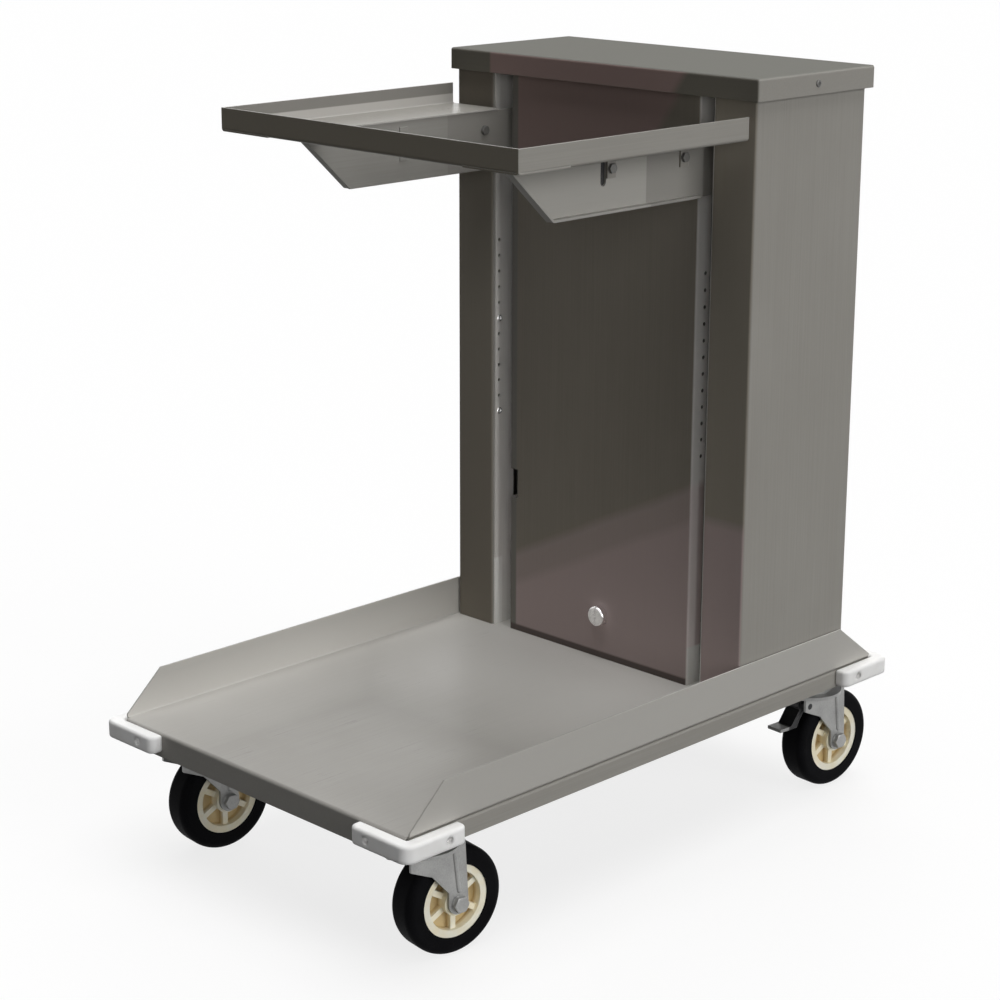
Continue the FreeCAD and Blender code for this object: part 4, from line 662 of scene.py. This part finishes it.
def tyre_material(name, joint):
    """Black tyre with fine moulded rings on its walls and a little dust."""
    material, tree, shader = new_material(name, 0.0, TYRE_SPECULAR)
    place = object_place(tree)
    _, out = from_axle(tree, place, joint)
    rings = maths(tree, "SINE", maths(tree, "MULTIPLY", out, TYRE_RINGS))
    fine = even_noise(tree, place, *TYRE_FINE)
    broad = even_noise(tree, place, *TYRE_BROAD)
    soft, _ = edges(tree, WHEEL_EDGE_RADIUS)
    colour = mixed(tree, ranged(tree, average(tree, fine, broad), *TYRE_MOTTLE), *TYRE)
    uneven = ranged(tree, fine, *PLASTIC_SPREAD, *TYRE_ROUGHNESS)
    height = maths(tree, "ADD", maths(tree, "MULTIPLY", rings, TYRE_RING_SHARE), fine)
    finish_shader(tree, shader, colour, uneven, bumped(tree, height, *TYRE_BUMP, soft))
    return material


MATERIALS = {
    "upright": steel("steel_upright", "z"),
    "lengthwise": steel("steel_lengthwise", "y"),
    "crosswise": steel("steel_crosswise", "x"),
    "deck": steel("steel_deck", "y", DECK_STEEL, deck_zone),
    "frame": steel("steel_frame", "y", STEEL, frame_zone),
    "arm": steel("steel_arm", "y", ARM_STEEL, arm_zone),
    "cap": steel("steel_cap", "x", STEEL, cap_zone, specular=0.0),
    "panel": steel("steel_panel", "z", PANEL_STEEL, panel_zone),
    "post": steel("steel_post", "z", STEEL, post_zone),
    "post_left": steel("steel_post_left", "z", STEEL, left_post_zone),
    "strip_left": steel("steel_strip_left", "z", STRIP_LIT_STEEL, strip_zone("left")),
    "strip_right": steel("steel_strip_right", "z", STRIP_LIT_STEEL, strip_zone("right")),
    "zinc": small_metal("zinc", ZINC, metallic=0.30, roughness=0.38),
    "dull": small_metal("dull_zinc", DULL_ZINC, metallic=0.20, roughness=0.45),
    "bright": small_metal("bright_plating", BRIGHT, metallic=1.0, roughness=0.22),
    "spring": small_metal("spring_wire", SPRING_WIRE, metallic=0.60, roughness=0.35),
    "pedal": small_metal("pedal_paint", ZINC, metallic=0.0, roughness=0.45, zone=pedal_zone),
    "vinyl": moulded("vinyl", VINYL, roughness=0.48, specular=0.3, edge=BUMPER_EDGE_RADIUS),
    "nylon": moulded("nylon", NYLON, roughness=0.48, specular=0.4),
    "rubber": moulded("rubber", RUBBER, roughness=0.70, specular=0.3),
}
BY_SLOT = {
    "stainless": "upright",
    "zinc_steel": "zinc",
    "spring_steel": "spring",
    "bumper_vinyl": "vinyl",
    "roller_nylon": "nylon",
    "stop_rubber": "rubber",
}
BY_NODE = {
    "deck_pan": "deck",
    "side_rail_left": "lengthwise",
    "side_rail_right": "lengthwise",
    "tray_frame": "frame",
    "arm_left": "arm",
    "arm_right": "arm",
    "tower_cap": "cap",
    "tower_header": "crosswise",
    "front_cross_channel": "crosswise",
    "rear_cross_channel": "crosswise",
    "cross_brace": "crosswise",
    "access_panel": "panel",
    "tower_side_left": "post_left",
    "tower_side_right": "post",
    "slot_strip_left": "strip_left",
    "slot_strip_right": "strip_right",
    "panel_latch": "bright",
    "brake_pedal_rear_left": "pedal",
    "brake_pedal_rear_right": "pedal",
}


def dress(node, material):
    """Give a carried-over solid its material."""
    slots = NODES[node].data.materials
    slots.clear()
    slots.append(material)


def dress_all():
    """Every solid's material, by what the piece is."""
    for entry in frame["record"]["subparts"]:
        kind = BY_NODE.get(entry["node"], BY_SLOT.get(entry["material_slot"]))
        if kind:
            dress(entry["node"], MATERIALS[kind])
    for corner in CORNERS:
        joint = JOINTS["wheel_" + corner + "_spin"]
        dress("wheel_hub_" + corner, hub_material("hub_" + corner, joint))
        dress("tyre_" + corner, tyre_material("tyre_" + corner, joint))


# Shapes in mesh code

def turned(profile, sides=ROUND_SIDES):
    """A closed shape turned round Z from points of radius and height, lowest first."""
    build = bmesh.new()
    rings = []
    for radius, height in profile:
        ring = []
        for index in range(sides):
            angle = 2 * math.pi * index / sides
            ring.append(build.verts.new((radius * math.cos(angle), radius * math.sin(angle), height)))
        rings.append(ring)
    for lower, upper in zip(rings, rings[1:]):
        for index in range(sides):
            following = (index + 1) % sides
            build.faces.new((lower[index], lower[following], upper[following], upper[index]))
    build.faces.new(list(reversed(rings[0])))
    build.faces.new(rings[-1])
    return build


def block(x, y, low, high):
    """A closed block centred on Z."""
    build = bmesh.new()
    bmesh.ops.create_cube(build, size=1.0)
    bmesh.ops.scale(build, vec=(x, y, high - low), verts=build.verts)
    bmesh.ops.translate(build, vec=(0, 0, (low + high) / 2), verts=build.verts)
    return build


def combined(first, second, operation):
    """Two closed shapes made into one."""
    items = []
    for build in (first, second):
        mesh = bpy.data.meshes.new("scrap")
        build.to_mesh(mesh)
        build.free()
        item = bpy.data.objects.new("scrap", mesh)
        bpy.context.scene.collection.objects.link(item)
        items.append(item)
    change = items[0].modifiers.new("combine", "BOOLEAN")
    change.operation = operation
    change.object = items[1]
    bpy.context.view_layer.update()
    result = bmesh.new()
    result.from_object(items[0], bpy.context.evaluated_depsgraph_get())
    for item in items:
        mesh = item.data
        bpy.data.objects.remove(item)
        bpy.data.meshes.remove(mesh)
    return result


def screw_head():
    """Domed screw head with a cross recess."""
    radius, height = SCREW_HEAD_RADIUS, SCREW_HEAD_HEIGHT
    head = turned([(radius * share, height * rise) for share, rise in SCREW_DOME])
    for x, y in ((RECESS_LENGTH, RECESS_WIDTH), (RECESS_WIDTH, RECESS_LENGTH)):
        head = combined(head, block(x, y, height - RECESS_DEPTH, height * 2), "DIFFERENCE")
    return head


def hex_head(radius, height):
    """Hexagon head on a round washer, with its top corners chamfered."""
    washer = height * WASHER_SHARE
    flat = radius * math.cos(math.pi / HEX_SIDES)
    prism = turned([(radius, washer), (radius, height)], HEX_SIDES)
    wide = radius * CHAMFER_GROWTH
    barrel = turned([(wide, washer / 2), (wide, height * CHAMFER_START), (flat * CHAMFER_TOP, height)])
    head = combined(prism, barrel, "INTERSECT")
    rim = flat * WASHER_GROWTH
    face = rim * WASHER_FACE
    rounds = (washer * WASHER_ROUND_LOW, washer * WASHER_ROUND_HIGH)
    plate = turned([(face, 0.0), (rim, rounds[0]), (rim, rounds[1]), (face, washer)])
    return combined(head, plate, "UNION")


def scattered(template, places):
    """Copies of one shape, each standing on a point and facing out of it."""
    mesh = bpy.data.meshes.new("scrap")
    template.to_mesh(mesh)
    template.free()
    whole = bmesh.new()
    for point, outward in places:
        first = len(whole.verts)
        whole.from_mesh(mesh)
        whole.verts.ensure_lookup_table()
        turn = outward.to_track_quat("Z", "Y").to_matrix().to_4x4()
        bmesh.ops.transform(whole, matrix=Matrix.Translation(point) @ turn, verts=whole.verts[first:])
    bpy.data.meshes.remove(mesh)
    return whole


def add_piece(name, build, materials, body=None, replaced=()):
    """A new piece of the object from mesh code."""
    bmesh.ops.recalc_face_normals(build, faces=build.faces)
    mesh = bpy.data.meshes.new(name)
    build.to_mesh(mesh)
    build.free()
    for material in materials:
        mesh.materials.append(MATERIALS[material])
    piece = bpy.data.objects.new(name, mesh)
    bpy.context.scene.collection.objects.link(piece)
    if body:
        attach(piece, body)
    if replaced:
        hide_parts(*replaced)
    return piece


# Fasteners

def separate_solids(node):
    """The points of each separate solid in a carried-over node."""
    build = bmesh.new()
    build.from_mesh(NODES[node].data)
    bmesh.ops.remove_doubles(build, verts=build.verts, dist=MERGE)
    left = set(build.verts)
    groups = []
    while left:
        waiting = [left.pop()]
        group = []
        while waiting:
            vert = waiting.pop()
            group.append(vert.co.copy())
            near = [edge.other_vert(vert) for edge in vert.link_edges]
            fresh = [other for other in near if other in left]
            left.difference_update(fresh)
            waiting.extend(fresh)
        groups.append(group)
    build.free()
    return groups


def round_axis(points):
    """The axis across which a turned solid measures the same both ways."""
    sizes = [max(p[i] for p in points) - min(p[i] for p in points) for i in range(3)]
    pairs = [abs(sizes[(i + 1) % 3] - sizes[(i + 2) % 3]) for i in range(3)]
    axis = Vector((0, 0, 0))
    axis[pairs.index(min(pairs))] = 1
    return axis


def ends_with_heads(points, axis):
    """Both ends of a fastener, as centre point, outward direction and whether it has a head."""
    low = Vector([min(p[i] for p in points) for i in range(3)])
    high = Vector([max(p[i] for p in points) for i in range(3)])
    centre = (low + high) / 2
    wide = max((p - centre).cross(axis).length for p in points)
    ends = []
    for outward in (axis, -axis):
        reach = max((p - centre).dot(outward) for p in points)
        last = [p for p in points if (p - centre).dot(outward) > reach - END_DEPTH]
        spread = max((p - centre).cross(axis).length for p in last)
        ends.append((centre + outward * reach, outward.copy(), spread > wide * HEADED_SHARE))
    return ends


def head_places(solids, height, axis=None):
    """Where each head stands, one head height in from the fastener's end."""
    places = []
    for points in solids:
        for end, outward, headed in ends_with_heads(points, axis or round_axis(points)):
            if headed:
                places.append((end - outward * height, outward))
    return places


def add_screws(node, body, material):
    """Cross-recess screws in place of plain ones; those in the slots are bright."""
    whole = scattered(screw_head(), head_places(separate_solids(node), SCREW_HEAD_HEIGHT))
    for face in whole.faces:
        face.material_index = int(abs(face.calc_center_median().x) < SLOT_REACH)
    add_piece(node + "_cross", whole, (material, "bright"), body, (node,))


def add_bolts(node, body, material, axis, radius, height, shank):
    """Chamfered hexagon bolts with washers in place of plain ones."""
    solids = separate_solids(node)
    whole = scattered(hex_head(radius, height), head_places(solids, height, axis))
    mesh = bpy.data.meshes.new("scrap")
    for points in solids:
        ends = ends_with_heads(points, axis)
        length = (ends[0][0] - ends[1][0]).length
        shape = turned([(shank, height / 2), (shank, length - height / 2)], ROD_SIDES)
        rod = scattered(shape, [(ends[1][0], axis)])
        rod.to_mesh(mesh)
        rod.free()
        whole.from_mesh(mesh)
    bpy.data.meshes.remove(mesh)
    add_piece(node + "_hex", whole, (material,), body, (node,))


def add_fasteners():
    """Every screw, bolt and caster axle."""
    add_screws("tower_screws", "cart", "dull")
    add_screws("bumper_screws", "cart", "bright")
    bolt = (BOLT_HEAD_RADIUS, BOLT_HEAD_HEIGHT, BOLT_RADIUS)
    add_bolts("carriage_bolts", "carriage", "dull", Vector((1, 0, 0)), *bolt)
    add_bolts("tower_foot_bolts", "cart", "zinc", Vector((0, 0, 1)), *bolt)
    add_bolts("caster_plate_bolts", "cart", "zinc", Vector((0, 0, 1)), *bolt)
    for corner in CORNERS:
        axis = Vector(JOINTS["wheel_" + corner + "_spin"]["axis"]).normalized()
        axle = (AXLE_HEAD_RADIUS, AXLE_HEAD_HEIGHT, AXLE_RADIUS)
        add_bolts("caster_axle_" + corner, "swivel_" + corner, "zinc", axis, *axle)


# Dark plates behind the arms' slots, standing in for the shade inside them

def add_slot_plates():
    """A plate inside each arm that closes its levelling slot, with a dark face where it shows through the slot,
    standing in for the shade there.
    """
    tower_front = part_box("tower_side_left")[0][1]
    low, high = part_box("arm_right")
    inside = low[0] - SLOT_PLATE_SHEET / 2
    y = tower_front - SLOT_PLATE_SETBACK
    z = high[2] - SLOT_PLATE_DROP
    plate = block(SLOT_PLATE_SHEET, SLOT_PLATE_WIDTH, -SLOT_PLATE_HEIGHT / 2, SLOT_PLATE_HEIGHT / 2)
    up = Vector((0, 0, 1))
    whole = scattered(plate, [(Vector((-inside, y, z)), up), (Vector((inside, y, z)), up)])
    # The plates' outer faces take the dark rubber, as painted shade inside the slot
    for face in whole.faces:
        face.material_index = int(abs(face.calc_center_median().x) > inside + SLOT_PLATE_SHEET / 4)
    add_piece("arm_slot_shade_plates", whole, ("arm", "rubber"), "carriage")


# Lift springs

def spring_path(x, y, top, bottom):
    """Middle line of one wire: a hook over the upper bar, a close coil, a hook under the lower."""
    sweep = math.radians(HOOK_SWEEP)
    points = []
    for step in range(HOOK_STEPS):
        angle = sweep * (1 - step / HOOK_STEPS)
        height = top - HOOK_RADIUS * math.cos(angle)
        points.append(Vector((x, y + HOOK_RADIUS * math.sin(angle), height)))
    coil_top = top - HOOK_RADIUS - NECK_LENGTH
    coil_bottom = bottom + HOOK_RADIUS + NECK_LENGTH
    turns = int((coil_top - coil_bottom) / (WIRE_RADIUS * 2 + COIL_GAP))
    coil_steps = turns * COIL_STEPS
    for step in range(NECK_STEPS):
        share = step / NECK_STEPS
        height = top - HOOK_RADIUS - NECK_LENGTH * share
        points.append(Vector((x, y + SPRING_RADIUS * share ** 2, height)))
    for step in range(coil_steps + 1):
        angle = math.pi / 2 + 2 * math.pi * step / COIL_STEPS
        height = coil_top + (coil_bottom - coil_top) * step / coil_steps
        across = x + SPRING_RADIUS * math.cos(angle)
        points.append(Vector((across, y + SPRING_RADIUS * math.sin(angle), height)))
    for step in range(1, NECK_STEPS + 1):
        share = 1 - step / NECK_STEPS
        height = bottom + HOOK_RADIUS + NECK_LENGTH * share
        points.append(Vector((x, y + SPRING_RADIUS * share ** 2, height)))
    for step in range(1, HOOK_STEPS + 1):
        angle = sweep * step / HOOK_STEPS
        height = bottom + HOOK_RADIUS * math.cos(angle)
        points.append(Vector((x, y + HOOK_RADIUS * math.sin(angle), height)))
    return points


def add_wire(build, points):
    """A round wire along a line of points, closed at both ends."""
    rings = []
    side = Vector((1, 0, 0))
    for index, point in enumerate(points):
        before = points[max(index - 1, 0)]
        after = points[min(index + 1, len(points) - 1)]
        along = (after - before).normalized()
        side = (side - along * side.dot(along)).normalized()
        other = along.cross(side)
        ring = []
        for step in range(WIRE_SIDES):
            angle = 2 * math.pi * step / WIRE_SIDES
            offset = side * math.cos(angle) + other * math.sin(angle)
            ring.append(build.verts.new(point + offset * WIRE_RADIUS))
        rings.append(ring)
    for first, second in zip(rings, rings[1:]):
        for step in range(WIRE_SIDES):
            following = (step + 1) % WIRE_SIDES
            face = build.faces.new((first[step], first[following], second[following], second[step]))
            face.smooth = True
    build.faces.new(rings[0])
    build.faces.new(rings[-1])


def middle(node):
    """Middle of a carried-over node's box."""
    low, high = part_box(node)
    return (Vector(low) + Vector(high)) / 2


def add_springs():
    """Six close-coiled lift springs that stretch between the fixed bar and the carriage's bar."""
    upper = middle("spring_hanger_bar")
    lower = middle("spring_bar")
    build = bmesh.new()
    for index in range(SPRING_COUNT):
        x = SPRING_PITCH * (index - (SPRING_COUNT - 1) / 2)
        add_wire(build, spring_path(x, upper.y, upper.z, lower.z))
    replaced = ("lift_springs",)
    piece = add_piece("lift_springs_coiled", build, ("spring",), replaced=replaced)
    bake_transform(piece)


# Stage, light and camera

def pale_when_seen(tree):
    """One for rays that show the background: seen, reflected or passed on."""
    path = make(tree, "LightPath").outputs
    seen = maths(tree, "MAXIMUM", path["Is Camera Ray"], path["Is Glossy Ray"])
    return maths(tree, "MAXIMUM", seen, path["Is Transmission Ray"])


def grey(level):
    """A colour without any tint."""
    return (level, level, level, 1)


def add_floor():
    """Round pale floor that keeps a light shadow."""
    build = bmesh.new()
    bmesh.ops.create_circle(build, cap_ends=True, segments=FLOOR_SIDES, radius=FLOOR_RADIUS)
    mesh = bpy.data.meshes.new("floor")
    build.to_mesh(mesh)
    build.free()
    floor = bpy.data.objects.new("floor", mesh)
    bpy.context.scene.collection.objects.link(floor)
    material = bpy.data.materials.new("floor")
    material.use_nodes = True
    tree = material.node_tree
    tree.nodes.clear()
    seen = pale_when_seen(tree)
    colour = mixed(tree, seen, grey(FLOOR_BOUNCE), grey(FLOOR_SHOWN))
    matte = make(tree, "BsdfDiffuse", {"Color": colour}).outputs[0]
    glow = make(tree, "Emission", {"Color": grey(1), "Strength": 1.0}).outputs[0]
    share = maths(tree, "MULTIPLY", seen, FLOOR_WHITENING)
    surface = make(tree, "MixShader", {0: share, 1: matte, 2: glow}).outputs[0]
    make(tree, "OutputMaterial", {"Surface": surface})
    mesh.materials.append(material)


def add_world():
    """White background with a low, even ambient light."""
    world = bpy.data.worlds.new("studio")
    world.use_nodes = True
    tree = world.node_tree
    tree.nodes.clear()
    strength = ranged(tree, pale_when_seen(tree), 0.0, 1.0, AMBIENT, 1.0)
    light = make(tree, "Background", {"Color": grey(1), "Strength": strength}).outputs[0]
    make(tree, "OutputWorld", {"Surface": light})
    bpy.context.scene.world = world


def add_lamp(name, source, strength, spread):
    """Soft distant lamp that shines from one direction."""
    data = bpy.data.lights.new(name, "SUN")
    data.energy = strength
    data.angle = math.radians(spread)
    lamp = bpy.data.objects.new(name, data)
    bpy.context.scene.collection.objects.link(lamp)
    lamp.rotation_euler = Vector(source).to_track_quat("Z", "Y").to_euler()


def add_camera():
    """Camera at the photograph's place and angle."""
    yaw, pitch = math.radians(CAMERA_YAW), math.radians(CAMERA_PITCH)
    ahead = Vector((math.sin(yaw) * math.cos(pitch), math.cos(yaw) * math.cos(pitch), -math.sin(pitch)))
    right = Vector((math.cos(yaw), -math.sin(yaw), 0))
    level = Matrix((right, right.cross(ahead), -ahead)).transposed().to_4x4()
    data = bpy.data.cameras.new("camera")
    data.lens = CAMERA_LENS
    camera = bpy.data.objects.new("camera", data)
    bpy.context.scene.collection.objects.link(camera)
    tilt = Matrix.Rotation(math.radians(CAMERA_ROLL), 4, "Z")
    camera.matrix_world = Matrix.Translation(CAMERA_PLACE) @ level @ tilt
    bpy.context.scene.camera = camera


dress_all()
add_fasteners()
add_slot_plates()
add_springs()
add_floor()
add_world()
for lamp_name, lamp_facts in LAMPS.items():
    add_lamp(lamp_name, *lamp_facts)
add_camera()
bpy.context.scene.view_settings.view_transform = "Standard"
